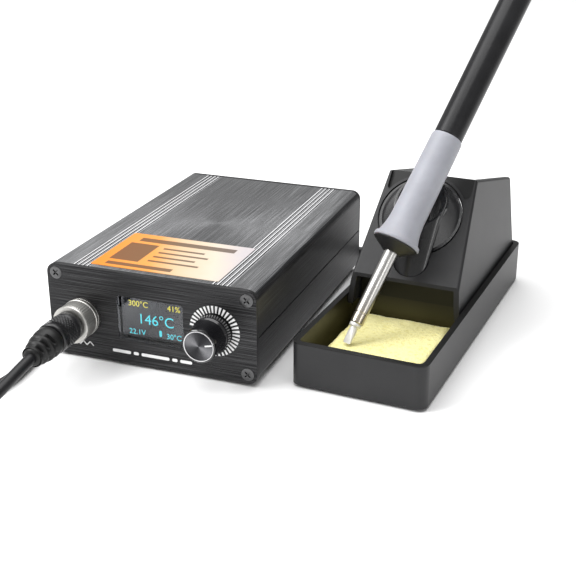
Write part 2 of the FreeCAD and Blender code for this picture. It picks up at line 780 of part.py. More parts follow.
def handle_tube():
    return iron_turned([
        (4.2, FLARE + 0.1),
        (5.3, FLARE + 0.1),
        (5.3, GRIP_END + 0.1),
        (HANDLE_RADIUS - 0.2, GRIP_END + 0.1),
        (HANDLE_RADIUS, GRIP_END + 0.4),
        (HANDLE_RADIUS, HANDLE_END),
        (4.2, HANDLE_END),
    ])


def end_cap():
    return iron_turned([
        (0, HANDLE_END - 6.0),
        (4.15, HANDLE_END - 6.0),
        (4.15, HANDLE_END + 0.05),
        (HANDLE_RADIUS, HANDLE_END + 0.05),
        (HANDLE_RADIUS, RELIEF_START - 1.0),
        (HANDLE_RADIUS - 0.9, RELIEF_START),
        (0, RELIEF_START),
    ])


def strain_relief():
    outline = [(0, RELIEF_START), (4.3, RELIEF_START)]
    ribs = 6
    step = (RELIEF_END - RELIEF_START - 4.0) / ribs
    for i in range(ribs):
        s = RELIEF_START + 2.0 + step * i
        radius = 4.3 - 0.2 * i
        outline += [(radius, s), (radius - 0.8, s + 0.3), (radius - 0.8, s + 1.6), (radius - 0.1, s + 1.9)]
    outline += [(2.9, RELIEF_END), (0, RELIEF_END)]
    return iron_turned(outline)


def iron_pieces():
    contacts = [iron_tube(SHEATH_RADIUS, 1.9, s, s + 4.0) for s in (102.0, 108.0)]
    strips = [
        block(-0.9, 0.9, 3.05, 3.35, s, s + 3.0)
        for s in (102.5, 108.5)
    ]
    board = block(-3.2, 3.2, -0.5, 0.5, 120.0, 152.0)
    sensor = [block(-1.4, 1.4, 0.5, 2.3, 126.0, 131.0), block(-1.0, 1.0, 0.5, 1.4, 136.0, 139.0)]
    turn = FreeCAD.Placement(TIP_POINT, blade_rotation())
    for shape in strips + [board] + sensor:
        shape.Placement = turn
    block_shape = iron_tube(4.15, 2.8, 98.0, 116.0)
    for strip in strips:
        block_shape = block_shape.cut(strip)
    return {
        "tip": [tip()],
        "cartridge_sheath": [iron_tube(SHEATH_RADIUS, 2.3, SHEATH_START, 100.0)],
        "heater_core": [rod(up_iron(13.0), IRON_AXIS, 1.9, 100.0)],
        "cartridge_contacts": contacts,
        "front_cap": [front_cap()],
        "grip": [grip()],
        "handle_tube": [handle_tube()],
        "cartridge_guide": [iron_tube(4.15, 2.85, 62.0, 82.0)],
        "contact_block": [block_shape],
        "contact_strips": strips,
        "handle_board": [joined([board] + sensor)],
        "end_cap": [end_cap()],
        "strain_relief": [strain_relief()],
    }


# ---------------------------------------------------------------- cord


def cord_tube(name, route):
    """A round cord along straight runs that are joined by arcs as large as the runs allow."""
    points = [V(*p) for p in route]
    edges = []
    radii = []
    here = points[0]
    for before, corner, after in zip(points, points[1:], points[2:]):
        back = (before - corner).normalize()
        ahead = (after - corner).normalize()
        half_turn = (math.pi - back.getAngle(ahead)) / 2
        reach = 0.45 * min((corner - before).Length, (after - corner).Length)
        radius = reach / math.tan(half_turn)
        radii.append(round(radius, 1))
        start = corner + back * reach
        end = corner + ahead * reach
        towards = (back + ahead).normalize()
        middle = corner + towards * (radius / math.cos(half_turn) - radius)
        edges.append(Part.LineSegment(here, start).toShape())
        edges.append(Part.Arc(start, middle, end).toShape())
        here = end
    edges.append(Part.LineSegment(here, points[-1]).toShape())
    path = Part.Wire(edges)
    section = Part.Wire([Part.makeCircle(CORD_RADIUS, points[0], points[1] - points[0])])
    solid = path.makePipeShell([section], True, True)
    expected = math.pi * CORD_RADIUS**2 * path.Length
    print(name, "length", round(path.Length, 1), "radii", radii, "volume ratio", round(solid.Volume / expected, 4))
    return solid


def cord_pieces():
    coil = tube(COIL_CENTRE, Z_AXIS, COIL_OUTER, COIL_INNER, COIL_HEIGHT)
    rise = RISE_ROUTE + [tuple(up_iron(RELIEF_END))]
    return {
        "cord_lead": [cord_tube("cord_lead", LEAD_ROUTE)],
        "cord_coil": [coil],
        "cord_run": [cord_tube("cord_run", RUN_ROUTE)],
        "cord_rise": [cord_tube("cord_rise", rise)],
    }


# ---------------------------------------------------------------- the whole set


def case_pieces():
    top, bottom = case_halves()
    pieces = {
        "top_shell": [top],
        "bottom_shell": [bottom],
        "front_panel": [front_panel()],
        "rear_panel": [rear_panel()],
        "front_panel_screws": panel_screws(0, Y_AXIS),
        "rear_panel_screws": panel_screws(CASE_DEPTH, Y_AXIS * -1),
        "case_feet": case_feet(),
        "top_label": [top_label()],
        "display_window": [display_window()],
        "display_module": [display_module()],
        "control_board": [control_board()],
        "board_chips": board_chips(),
        "encoder_body": [encoder_body()],
        "encoder_nut": [encoder_nut()],
        "encoder_rotor": [encoder_rotor()],
        "encoder_shaft": [encoder_shaft()],
        "knob": [knob()],
        "knob_face": [knob_face()],
        "knob_grub_screw": [knob_grub_screw()],
        "socket_body": [socket_body()],
        "socket_nut": [socket_nut()],
        "socket_insert": [socket_insert()],
        "socket_pins": socket_pins(),
        "coupling_ring": [coupling_ring()],
        "plug_shell": [plug_shell()],
        "plug_insert": [plug_insert()],
        "plug_boot": [plug_boot()],
        "power_board": [power_board()],
        "mains_inlet": [mains_inlet()],
        "inlet_pins": inlet_pins(),
        "switch_housing": [switch_housing()],
        "power_rocker": [power_rocker()],
    }
    pieces.update(power_parts())
    return {name: [put_case(s) for s in shapes] for name, shapes in pieces.items()}


def stand_pieces():
    pieces = {
        "tray": [tray()],
        "holder_hood": [holder_hood()],
        "iron_receptacle": [iron_receptacle()],
        "sponge": [sponge()],
        "stand_feet": stand_feet(),
    }
    return {name: [put_stand(s) for s in shapes] for name, shapes in pieces.items()}


def main():
    os.makedirs("parts", exist_ok=True)
    pieces = case_pieces()
    pieces.update(stand_pieces())
    pieces.update(iron_pieces())
    pieces.update(cord_pieces())
    for name, shapes in pieces.items():
        shape = shapes[0] if len(shapes) == 1 else Part.makeCompound(shapes)
        shape.exportStep(f"parts/{name}.step")


main()
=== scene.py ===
"""Looks for the soldering set: station, iron, stand and sponge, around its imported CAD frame.

Lengths are in millimetres in the helpers' arguments and in metres in Blender. The station's and
the stand's own corners carry the two local frames that the pieces are laid out in.
"""

import math

import bmesh
import bpy
from mathutils import Matrix, Vector, noise


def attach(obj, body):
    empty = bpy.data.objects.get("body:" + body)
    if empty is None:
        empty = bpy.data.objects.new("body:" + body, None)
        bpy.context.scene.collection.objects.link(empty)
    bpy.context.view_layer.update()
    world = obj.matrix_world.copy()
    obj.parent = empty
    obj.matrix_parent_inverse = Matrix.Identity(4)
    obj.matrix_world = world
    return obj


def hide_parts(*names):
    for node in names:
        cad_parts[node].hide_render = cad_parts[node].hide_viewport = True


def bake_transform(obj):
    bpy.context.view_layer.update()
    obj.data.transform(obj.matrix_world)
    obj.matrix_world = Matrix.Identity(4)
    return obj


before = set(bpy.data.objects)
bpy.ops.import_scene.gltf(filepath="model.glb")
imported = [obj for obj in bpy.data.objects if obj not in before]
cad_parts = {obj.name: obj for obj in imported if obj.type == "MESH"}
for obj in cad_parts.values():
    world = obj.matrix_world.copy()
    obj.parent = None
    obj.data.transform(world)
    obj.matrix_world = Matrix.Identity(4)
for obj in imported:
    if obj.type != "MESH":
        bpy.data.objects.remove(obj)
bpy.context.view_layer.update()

MM = 0.001
ROOT = "set"

# Local frames, laid out as in the CAD part
CASE = Matrix.Translation((-0.084, -0.066, 0.0012))
STAND = Matrix.Translation((0.0148, -0.0599, 0.0012)) @ Matrix.Rotation(math.radians(-3.9), 4, "Z")
TIP_POINT = Vector((0.0304, -0.0392, 0.0113))
IRON_AXIS = Vector((0.26, 0.578, 0.773)).normalized()
ACROSS = Vector((IRON_AXIS.y, -IRON_AXIS.x, 0)).normalized()
IRON = Matrix.Translation(TIP_POINT) @ Matrix(
    [list(row) for row in zip(ACROSS, IRON_AXIS.cross(ACROSS), IRON_AXIS)]
).to_4x4()

# Station, in millimetres in its frame: x across, y from the front panel back, z up
WINDOW = (30.0, 58.0, 10.0, 28.2)
FIGURE_FACE = 2.92
PRINT_FRONT, PRINT_BACK = -0.03, 0.005
KNOB_X, KNOB_Z, KNOB_FRONT = 71.0, 19.9, -14.4
BRIGHT_EDGE = 5.6
TICK_OUTER, TICK_LENGTH = 10.2, 2.9
SOCKET_X, SOCKET_Z = 15.0, 17.6
GROOVE_STARTS, GROOVE_STEP = (11.5, 70.1), 1.9
GROOVE_COUNT, GROOVE_WIDTH = 4, 0.7

# Stand, in millimetres in its frame; the holder's face starts at FACE_LOW (y, z) and leans back
TRAY_WIDTH, TRAY_RIM, TRAY_WALL = 53.0, 16.9, 2.2
PARTITION_FRONT = 58.0
FACE_LOW = (52.8, 27.0)
FACE_BACK, FACE_RISE = 0.671, 0.741
FACE_MIDDLE, POCKET_HALF, POCKET_START = 26.5, 17.95, 35.0

# Iron, in millimetres from the tip's end
FLARE, WAIST, GRIP_END = 43.5, 57.0, 91.0
RELIEF_START, RELIEF_END = 170.0, 200.0

# Cord: its end at the plug is in millimetres in the row frame
PLUG_EXIT = (-69.0, -103.4, 17.4)
CORD_DIAMETER_M = 0.0045


# ---------------------------------------------------------------- camera


VIEW_ANGLES = (20.44, 22.67)
VIEW_PLACE = (0.14069, -0.3998, 0.19161)
LENS = 67.55


def make_camera():
    """The photograph's view: about 20 degrees to the right of the front, 23 above the bench."""
    azimuth, elevation = (math.radians(angle) for angle in VIEW_ANGLES)
    forward = Vector(
        (
            -math.sin(azimuth) * math.cos(elevation),
            math.cos(azimuth) * math.cos(elevation),
            -math.sin(elevation),
        )
    )
    data = bpy.data.cameras.new("view")
    data.lens = LENS
    data.sensor_width = 36.0
    data.clip_end = 20.0
    camera = bpy.data.objects.new("view", data)
    camera.location = VIEW_PLACE
    camera.rotation_euler = forward.to_track_quat("-Z", "Y").to_euler()
    bpy.context.collection.objects.link(camera)
    bpy.context.scene.camera = camera


make_camera()


# ---------------------------------------------------------------- materials


class Nodes:
    """A short way to write a material's node tree."""

    def __init__(self, name, **values):
        self.material = bpy.data.materials.new(name)
        self.material.use_nodes = True
        self.tree = self.material.node_tree
        self.shader = self.tree.nodes["Principled BSDF"]
        for key, value in values.items():
            self.shader.inputs[key.replace("_", " ")].default_value = value

    def add(self, kind, settings=None, **inputs):
        """A node with its settings, and its inputs by name (Scale=...) or by number (i0=...)."""
        node = self.tree.nodes.new(kind)
        for key, value in (settings or {}).items():
            setattr(node, key, value)
        for key, value in inputs.items():
            by_number = key[0] == "i" and key[1:].isdigit()
            socket = node.inputs[int(key[1:]) if by_number else key.replace("_", " ")]
            if isinstance(value, bpy.types.NodeSocket):
                self.tree.links.new(value, socket)
            else:
                socket.default_value = value
        return node

    def math(self, operation, a, b=0.0):
        """One sum; each of a and b is a number or another node's output."""
        return self.add("ShaderNodeMath", {"operation": operation}, i0=a, i1=b).outputs[0]

    def band(self, value, low, high):
        """1 where the value lies between the two limits, and 0 elsewhere."""
        return self.both(self.math("GREATER_THAN", value, low), self.math("LESS_THAN", value, high))

    def both(self, *masks):
        """1 where every mask is 1."""
        result = masks[0]
        for mask in masks[1:]:
            result = self.math("MULTIPLY", result, mask)
        return result

    def split(self, place):
        return self.add("ShaderNodeSeparateXYZ", None, Vector=place).outputs

    def where(self, matrix=None, scale=(1, 1, 1)):
        """Row-frame coordinates in millimetres, turned into a local frame if one is given."""
        place = self.add("ShaderNodeTexCoord").outputs["Object"]
        place = self.vector_math("SCALE", i0=place, Scale=1 / MM)
        if matrix is not None:
            inverse = matrix.inverted()
            node = self.add("ShaderNodeMapping", None, Vector=place, Rotation=inverse.to_euler())
            node.inputs["Location"].default_value = inverse.to_translation() / MM
            place = node.outputs[0]
        if scale != (1, 1, 1):
            place = self.vector_math("MULTIPLY", i0=place, i1=scale)
        return place

    def vector_math(self, operation, **inputs):
        return self.add("ShaderNodeVectorMath", {"operation": operation}, **inputs).outputs[0]

    def noise(self, place, scale, detail=3.0, rough=0.5):
        node = self.add("ShaderNodeTexNoise", None, Vector=place, Scale=scale, Detail=detail)
        node.inputs["Roughness"].default_value = rough
        return node.outputs["Fac"]

    def ramp(self, fac, *stops):
        node = self.add("ShaderNodeValToRGB", None, Fac=fac)
        ramp = node.color_ramp
        while len(ramp.elements) < len(stops):
            ramp.elements.new(0.5)
        for element, (at, colour) in zip(ramp.elements, stops):
            element.position = at
            element.color = (*colour, 1)
        return node.outputs["Color"]

    def span(self, fac, low, high, to_low, to_high):
        node = self.add("ShaderNodeMapRange", None, Value=fac)
        limits = {"From Min": low, "From Max": high, "To Min": to_low, "To Max": to_high}
        for key, value in limits.items():
            node.inputs[key].default_value = value
        return node.outputs[0]

    def mix(self, fac, a, b):
        a, b = (c if isinstance(c, bpy.types.NodeSocket) else (*c, 1) for c in (a, b))
        return self.add("ShaderNodeMix", {"data_type": "RGBA"}, i0=fac, i6=a, i7=b).outputs[2]

    def set(self, key, socket):
        self.tree.links.new(socket, self.shader.inputs[key])

    def bump(self, height, strength, distance):
        node = self.add("ShaderNodeBump", None, Height=height, Strength=strength, Distance=distance)
        self.set("Normal", node.outputs[0])


def groove_glints(n, tone):
    """Painted highlights: bright strips beside the grooves along the top of the case."""
    x = n.split(n.where(CASE))[0]
    glint_lines = 0.0
    for start in GROOVE_STARTS:
        for i in range(GROOVE_COUNT):
            left = start + GROOVE_STEP * i
            right = left + GROOVE_WIDTH
            for low, high in ((left - 0.5, left + 0.02), (right - 0.02, right + 0.2)):
                glint_lines = n.math("MAXIMUM", glint_lines, n.band(x, low, high))
    n.set("Metallic", n.span(glint_lines, 0.0, 1.0, 0.9, 0.2))
    return n.mix(glint_lines, tone, (0.7, 0.7, 0.71))


def streaks(n, direction, across, along, *settings):
    """Noise drawn out along one of the station's axes."""
    stretch = [across] * 3
    stretch[direction] = along
    return n.noise(n.where(CASE, tuple(stretch)), 1.0, *settings)


def brushed(name, colour, dark, direction, rough, metallic, contrast):
    """Metal with long fine scratches; direction is the axis they run along."""
    n = Nodes(name, Metallic=metallic, Anisotropic=0.5)
    fine = streaks(n, direction, 7.0, 0.03, 4.0, 0.65)
    broad = streaks(n, direction, 1.3, 0.02, 2.0)
    both = n.math("ADD", n.math("MULTIPLY", fine, 0.93), n.math("MULTIPLY", broad, 0.07))
    bright = [min(1, c * contrast) for c in colour]
    tone = n.ramp(both, (0.36, dark), (0.5, colour), (0.64, bright))
    n.set("Base Color", groove_glints(n, tone) if name == "case_top_painted_sheen" else tone)
    n.set("Roughness", n.span(both, 0.3, 0.7, rough - 0.08, rough + 0.12))
    n.bump(fine, 0.25, 0.00004)
    return n.material


def moulded(name, colour, rough=0.42, grain=9.0, bump=0.25, coat=0.0, specular=0.3):
    """Moulded plastic or rubber: a fine spark-eroded grain and slight unevenness of gloss."""
    n = Nodes(name)
    n.shader.inputs["Specular IOR Level"].default_value = specular
    n.shader.inputs["Coat Weight"].default_value = coat
    place = n.where()
    grainy = n.noise(place, grain, 2.0)
    broad = n.noise(place, 0.06, 3.0)
    low = [c * 0.8 for c in colour]
    high = [min(1, c * 1.25 + 0.002) for c in colour]
    n.set("Base Color", n.ramp(broad, (0.3, low), (0.7, high)))
    uneven = n.math("ADD", n.math("MULTIPLY", grainy, 0.5), n.math("MULTIPLY", broad, 0.5))
    n.set("Roughness", n.span(uneven, 0.3, 0.7, rough - 0.06, rough + 0.08))
    n.bump(grainy, bump, 0.00005)
    return n.material


def metal(name, colour, rough, scratch=0.15):
    """Plain plated or turned metal."""
    n = Nodes(name, Metallic=1.0)
    place = n.where()
    fine = n.noise(place, 3.0, 5.0, 0.7)
    broad = n.noise(place, 0.12, 2.0)
    n.set("Base Color", n.ramp(broad, (0.3, [c * 0.86 for c in colour]), (0.7, colour)))
    n.set("Roughness", n.span(fine, 0.3, 0.7, rough - 0.06, rough + 0.1))
    n.bump(fine, scratch, 0.00003)
    return n.material


def spun_metal():
    """Turned aluminium: fine rings, with painted light and dark sectors for the sheen a turned face shows.
    """
    n = Nodes("spun_metal", Metallic=1.0)
    place = n.where(CASE)
    x, _, z = n.split(place)
    dx, dz = n.math("SUBTRACT", x, KNOB_X), n.math("SUBTRACT", z, KNOB_Z)
    squares = n.math("MULTIPLY", dx, dx), n.math("MULTIPLY", dz, dz)
    radius = n.math("SQRT", n.math("ADD", *squares))
    angle = n.math("ARCTAN2", dz, dx)
    # Painted sheen: light and dark sectors round the axis.
    sectors = n.math("COSINE", n.math("MULTIPLY", n.math("ADD", angle, 0.5), 2.0))
    rings = n.math("SINE", n.math("MULTIPLY", radius, 40.0))
    tone = n.math("ADD", n.math("MULTIPLY", sectors, 0.34), n.math("MULTIPLY", n.noise(place, 2.0), 0.2))
    shades = (0.1, (0.02, 0.02, 0.022)), (0.55, (0.06, 0.06, 0.064)), (0.9, (0.2, 0.2, 0.21))
    shade = n.ramp(n.math("ADD", tone, 0.4), *shades)
    edge = n.span(radius, BRIGHT_EDGE, BRIGHT_EDGE + 0.15, 0.0, 1.0)
    n.set("Base Color", n.mix(edge, shade, (0.75, 0.75, 0.76)))
    n.set("Roughness", n.span(rings, -1.0, 1.0, 0.22, 0.36))
    n.bump(rings, 0.2, 0.00003)
    return n.material


def circuit_board():
    """Green board with paler tracks."""
    n = Nodes("circuit_board", Roughness=0.35)
    place = n.where()
    tracks = n.add("ShaderNodeTexBrick", {"offset": 0.5}, Vector=place, Scale=0.35)
    tracks.inputs["Color1"].default_value = (0.01, 0.12, 0.05, 1)
    tracks.inputs["Color2"].default_value = (0.012, 0.16, 0.07, 1)
    tracks.inputs["Mortar"].default_value = (0.03, 0.24, 0.11, 1)
    n.set("Base Color", tracks.outputs["Color"])
    n.bump(tracks.outputs["Fac"], 0.2, 0.00004)
    return n.material


def windings():
    """Copper wire wound in close turns."""
    n = Nodes("copper_wire", Metallic=0.9, Roughness=0.35)
    bands = n.add("ShaderNodeTexWave", {"bands_direction": "Z"}, Vector=n.where(), Scale=0.6).outputs["Fac"]
    n.set("Base Color", n.ramp(bands, (0.1, (0.22, 0.07, 0.02)), (0.7, (0.72, 0.32, 0.13))))
    n.bump(bands, 0.8, 0.0003)
    return n.material


def tray_plastic():
    """Satin black plastic, near black from the rim height up; painted olive glow inside, painted shade on
    the right.
    """
    n = Nodes("tray_satin")
    n.shader.inputs["Specular IOR Level"].default_value = 0.3
    place = n.where(STAND)
    x, y, z = n.split(place)
    grain = n.noise(place, 12.0, 2.0)
    broad = n.noise(place, 0.06, 3.0)
    outside = n.ramp(broad, (0.3, (0.017, 0.017, 0.018)), (0.7, (0.022, 0.022, 0.023)))
    # Painted glow: olive light the sponge throws inside the tray, strongest low down.
    height = n.span(z, 4.0, 17.0, 0.0, 1.0)
    sponge_glow = n.ramp(height, (0.0, (0.07, 0.062, 0.02)), (1.0, (0.012, 0.011, 0.006)))
    inside = n.both(
        n.band(x, TRAY_WALL, TRAY_WIDTH - TRAY_WALL),
        n.band(y, TRAY_WALL, PARTITION_FRONT),
        n.math("GREATER_THAN", z, 1.0),
    )
    # Painted shade: the right side is darker than the rest.
    shaded_flank = n.math("GREATER_THAN", x, TRAY_WIDTH - 0.1)
    outside = n.mix(shaded_flank, outside, (0.009, 0.009, 0.0095))
    # Near black from the rim height up.
    rim = n.math("GREATER_THAN", z, TRAY_RIM)
    n.set("Base Color", n.mix(rim, n.mix(inside, outside, sponge_glow), (0.003, 0.003, 0.003)))
    n.set("Roughness", n.span(grain, 0.3, 0.7, 0.34, 0.44))
    n.bump(grain, 0.12, 0.00005)
    return n.material


def hood_plastic():
    """Satin black plastic; the floors of the two corner pockets are painted in deep shade."""
    n = Nodes("hood_satin")
    n.shader.inputs["Specular IOR Level"].default_value = 0.3
    place = n.where(STAND)
    x, y, z = n.split(place)
    back, rise = n.math("SUBTRACT", y, FACE_LOW[0]), n.math("SUBTRACT", z, FACE_LOW[1])
    out = n.math("ADD", n.math("MULTIPLY", back, -FACE_RISE), n.math("MULTIPLY", rise, FACE_BACK))
    up = n.math("ADD", n.math("MULTIPLY", back, FACE_BACK), n.math("MULTIPLY", rise, FACE_RISE))
    aside = n.math("ABSOLUTE", n.math("SUBTRACT", x, FACE_MIDDLE))
    # Painted shade: the recess floors at the top corners are drawn near black.
    pocket_shade = n.both(
        n.math("GREATER_THAN", up, POCKET_START),
        n.band(out, -2.0, -0.35),
        n.math("LESS_THAN", aside, POCKET_HALF),
    )
    grain = n.noise(place, 12.0, 2.0)
    broad = n.noise(place, 0.06, 3.0)
    skin = n.ramp(broad, (0.3, (0.0136, 0.0136, 0.0144)), (0.7, (0.0232, 0.0232, 0.0245)))
    n.set("Base Color", n.mix(pocket_shade, skin, (0.002, 0.002, 0.002)))
    n.set("Roughness", n.span(grain, 0.3, 0.7, 0.37, 0.49))
    n.bump(grain, 0.15, 0.00005)
    return n.material


def clear_window():
    """Tinted clear plastic: a see-through sheet with a gloss that grows towards the edges."""
    material = bpy.data.materials.new("window_plastic")
    material.use_nodes = True
    tree = material.node_tree
    tree.nodes.remove(tree.nodes["Principled BSDF"])
    through = tree.nodes.new("ShaderNodeBsdfTransparent")
    through.inputs[0].default_value = (0.93, 0.94, 0.96, 1)
    gloss = tree.nodes.new("ShaderNodeBsdfGlossy")
    gloss.inputs["Roughness"].default_value = 0.06
    edge = tree.nodes.new("ShaderNodeFresnel")
    edge.inputs["IOR"].default_value = 1.4
    mix = tree.nodes.new("ShaderNodeMixShader")
    tree.links.new(edge.outputs[0], mix.inputs[0])
    tree.links.new(through.outputs[0], mix.inputs[1])
    tree.links.new(gloss.outputs[0], mix.inputs[2])
    tree.links.new(mix.outputs[0], tree.nodes["Material Output"].inputs["Surface"])
    return material


def display_glass():
    """The unlit screen: dark grey, a little lighter across its left part, where a reflection is painted."""
    n = Nodes("display_glass", Roughness=0.12)
    place = n.where(CASE)
    x, _, z = n.split(place)
    # Painted reflection: the slanted lighter band on the left of the screen.
    edge = n.math("SUBTRACT", x, n.math("MULTIPLY", z, 0.3))
    lit = n.span(edge, 38.0, 38.3, 0.0, 1.0)
    cloud = n.noise(place, 0.15)
    left = n.ramp(cloud, (0.3, (0.022, 0.023, 0.026)), (0.7, (0.028, 0.029, 0.033)))
    right = n.ramp(cloud, (0.3, (0.008, 0.008, 0.010)), (0.7, (0.011, 0.011, 0.013)))
    n.set("Base Color", n.mix(lit, left, right))
    return n.material


def glowing(name, colour):
    """A lit figure of the screen."""
    n = Nodes(name, Roughness=0.5, Emission_Strength=0.95)
    flicker = n.noise(n.where(), 5.0, 1.0)
    shade = n.ramp(flicker, (0.3, [c * 0.9 for c in colour]), (0.7, colour))
    n.set("Base Color", shade)
    n.set("Emission Color", shade)
    return n.material


def label_film():
    """A printed film: orange on the left, cream and pale lilac on the right, with plain blocks."""
    n = Nodes("label_film", Roughness=0.3)
    place = n.where(CASE)
    x, y, _ = n.split(place)
    slant = n.math("ADD", x, n.math("MULTIPLY", y, 0.35))
    fade = n.math("ADD", slant, n.math("MULTIPLY", n.noise(place, 0.11), 7.0))
    ground = n.ramp(
        n.span(fade, 26.0, 84.0, 0.0, 1.0),
        (0.0, (0.74, 0.22, 0.012)),
        (0.36, (0.72, 0.29, 0.06)),
        (0.55, (0.62, 0.44, 0.27)),
        (0.8, (0.62, 0.53, 0.43)),
        (1.0, (0.50, 0.46, 0.47)),
    )
    blocks = [(23.0, 65.0, 33.4, 37.4), (21.0, 33.5, 12.0, 31.0), (22.0, 50.0, 6.6, 9.6)]
    for line in range(4):
        low = 14.0 + 4.6 * line
        blocks.append((36.5, 58.0 - 3.5 * (line % 2), low, low + 1.6))
    dark = 0.0
    for x0, x1, y0, y1 in blocks:
        dark = n.math("MAXIMUM", dark, n.both(n.band(x, x0, x1), n.band(y, y0, y1)))
    ink = n.mix(n.noise(place, 3.0), (0.05, 0.025, 0.012), (0.09, 0.05, 0.025))
    n.set("Base Color", n.mix(n.math("MULTIPLY", dark, 0.84), ground, ink))
    n.bump(n.noise(n.where(CASE, (6, 0.2, 1)), 1.0), 0.1, 0.00003)
    return n.material


def sponge_cellulose():
    """Compressed cellulose: yellow, with open pores of several sizes."""
    n = Nodes("sponge_cellulose", Roughness=0.95)
    n.shader.inputs["Sheen Weight"].default_value = 0.25
    place = n.where()
    large = n.add("ShaderNodeTexVoronoi", None, Vector=place, Scale=0.5).outputs["Distance"]
    small = n.add("ShaderNodeTexVoronoi", None, Vector=place, Scale=1.4).outputs["Distance"]
    fibres = n.noise(place, 1.2, 6.0, 0.7)
    fuzz = n.math("ADD", n.math("MULTIPLY", small, 0.35), n.math("MULTIPLY", fibres, 0.5))
    depth = n.math("ADD", n.math("MULTIPLY", large, 0.5), fuzz)
    # Partly painted shade: the ramp's dark end falls in the deep pores; the rest is the pad's own yellow.
    shades = (0.25, (0.46, 0.38, 0.09)), (0.42, (0.72, 0.64, 0.22)), (0.7, (0.84, 0.78, 0.36))
    n.set("Base Color", n.ramp(depth, *shades))
    n.bump(depth, 0.9, 0.0006)
    return n.material


def steel_shaft():
    """Satin cartridge steel, turning straw-coloured towards the tip."""
    n = Nodes("cartridge_steel", Metallic=1.0)
    place = n.where(IRON)
    along = n.split(place)[2]
    rings = n.noise(n.where(IRON, (0.3, 0.3, 5.0)), 1.0, 4.0)
    heat = n.math("ADD", along, n.math("MULTIPLY", n.noise(place, 0.4), 5.0))
    tone = n.ramp(
        n.span(heat, 6.0, 30.0, 0.0, 1.0),
        (0.0, (0.40, 0.36, 0.31)),
        (0.3, (0.50, 0.45, 0.37)),
        (0.55, (0.52, 0.50, 0.47)),
        (1.0, (0.56, 0.55, 0.53)),
    )
    n.set("Base Color", tone)
    n.set("Roughness", n.span(rings, 0.3, 0.7, 0.27, 0.32))
    n.bump(rings, 0.02, 0.00001)
    return n.material


def tinned_blade():
    """Dull, pale metal wetted with solder."""
    n = Nodes("tinned_blade", Metallic=0.6)
    place = n.where(IRON)
    blotch = n.noise(place, 0.9, 4.0)
    n.set("Base Color", n.ramp(blotch, (0.3, (0.74, 0.73, 0.7)), (0.6, (0.8, 0.79, 0.76))))
    n.set("Roughness", n.span(blotch, 0.3, 0.7, 0.46, 0.54))
    return n.material


def silicone_grip():
    """Lilac-grey silicone with a soft sheen and slightly uneven colour."""
    n = Nodes("grip_silicone")
    n.shader.inputs["Sheen Weight"].default_value = 0.15
    n.shader.inputs["Subsurface Weight"].default_value = 0.04
    place = n.where()
    rubbed = n.noise(place, 0.12, 4.0, 0.6)
    fine = n.noise(place, 6.0, 2.0)
    n.set("Base Color", n.ramp(rubbed, (0.3, (0.27, 0.27, 0.3)), (0.7, (0.31, 0.31, 0.345))))
    n.set("Roughness", n.span(fine, 0.3, 0.7, 0.42, 0.58))
    n.bump(fine, 0.2, 0.00005)
    return n.material


def floor_paint():
    """Matt white, with hardly any unevenness."""
    n = Nodes("pale_floor", Roughness=0.75)
    n.shader.inputs["Specular IOR Level"].default_value = 0.2
    cloud = n.noise(n.where(), 0.01, 2.0)
    n.set("Base Color", n.ramp(cloud, (0.3, (0.9, 0.9, 0.9)), (0.7, (0.92, 0.92, 0.92))))
    return n.material


M = {
    # The top is a lighter copy of the sides' dark metal: painted sheen where it faces the light above.
    "case_top_painted_sheen": brushed("case_top_painted_sheen", (0.2, 0.202, 0.207), (0.08, 0.081, 0.083), 1, 0.36, 0.9, 2.2),
    "case_side": brushed("case_side", (0.04, 0.04, 0.042), (0.008, 0.008, 0.009), 1, 0.38, 0.95, 3.2),
    "panel": brushed("panel_black", (0.03, 0.03, 0.031), (0.006, 0.006, 0.007), 0, 0.4, 0.9, 3.4),
    "steel": metal("screw_steel", (0.5, 0.5, 0.51), 0.3),
    "oxide": metal("black_oxide", (0.12, 0.12, 0.122), 0.3),
    "nickel": metal("nickel_plate", (0.5, 0.49, 0.47), 0.24, 0.08),
    "ring": metal("satin_nickel", (0.62, 0.61, 0.58), 0.42, 0.05),
    "plug": moulded("plug_black", (0.008, 0.008, 0.009), 0.26, 6.0, 0.08, 0.0, 0.45),
    "brass": metal("brass", (0.78, 0.56, 0.24), 0.28),
    "black": moulded("black_satin", (0.016, 0.016, 0.017), 0.4),
    "hood": hood_plastic(),
    "insert": moulded("insert_gloss", (0.014, 0.014, 0.015), 0.24, 10.0, 0.03, 0.0, 0.6),
    "tray": tray_plastic(),
    "gloss": moulded("black_gloss", (0.005, 0.005, 0.006), 0.14, 4.0, 0.02, 0.3, 0.5),
    "handle": moulded("handle_black", (0.01, 0.01, 0.011), 0.27, 12.0, 0.08),
    "rubber": moulded("black_rubber", (0.008, 0.008, 0.008), 0.42, 7.0, 0.2),
    "cord": moulded("cord_silicone", (0.008, 0.008, 0.009), 0.36, 8.0, 0.1),
    "ceramic": moulded("ceramic", (0.72, 0.7, 0.64), 0.5, 6.0, 0.2),
    "ferrite": moulded("ferrite", (0.05, 0.05, 0.055), 0.55, 3.0, 0.3),
    "white": moulded("white_print", (0.8, 0.8, 0.8), 0.5, 5.0, 0.05),
    "board": circuit_board(),
    "copper": windings(),
    "window": clear_window(),
    "screen": display_glass(),
    "yellow": glowing("lit_yellow", (0.78, 0.68, 0.05)),
    "cyan": glowing("lit_cyan", (0.08, 0.66, 0.72)),
    "label": label_film(),
    "sponge": sponge_cellulose(),
    "shaft": steel_shaft(),
    "spun": spun_metal(),
    "blade": tinned_blade(),
    "grip": silicone_grip(),
}


# ---------------------------------------------------------------- mesh helpers


WELD_GAP, SAME_POINT = 1e-6, 1e-8
AXIS_RADIUS = 1e-6


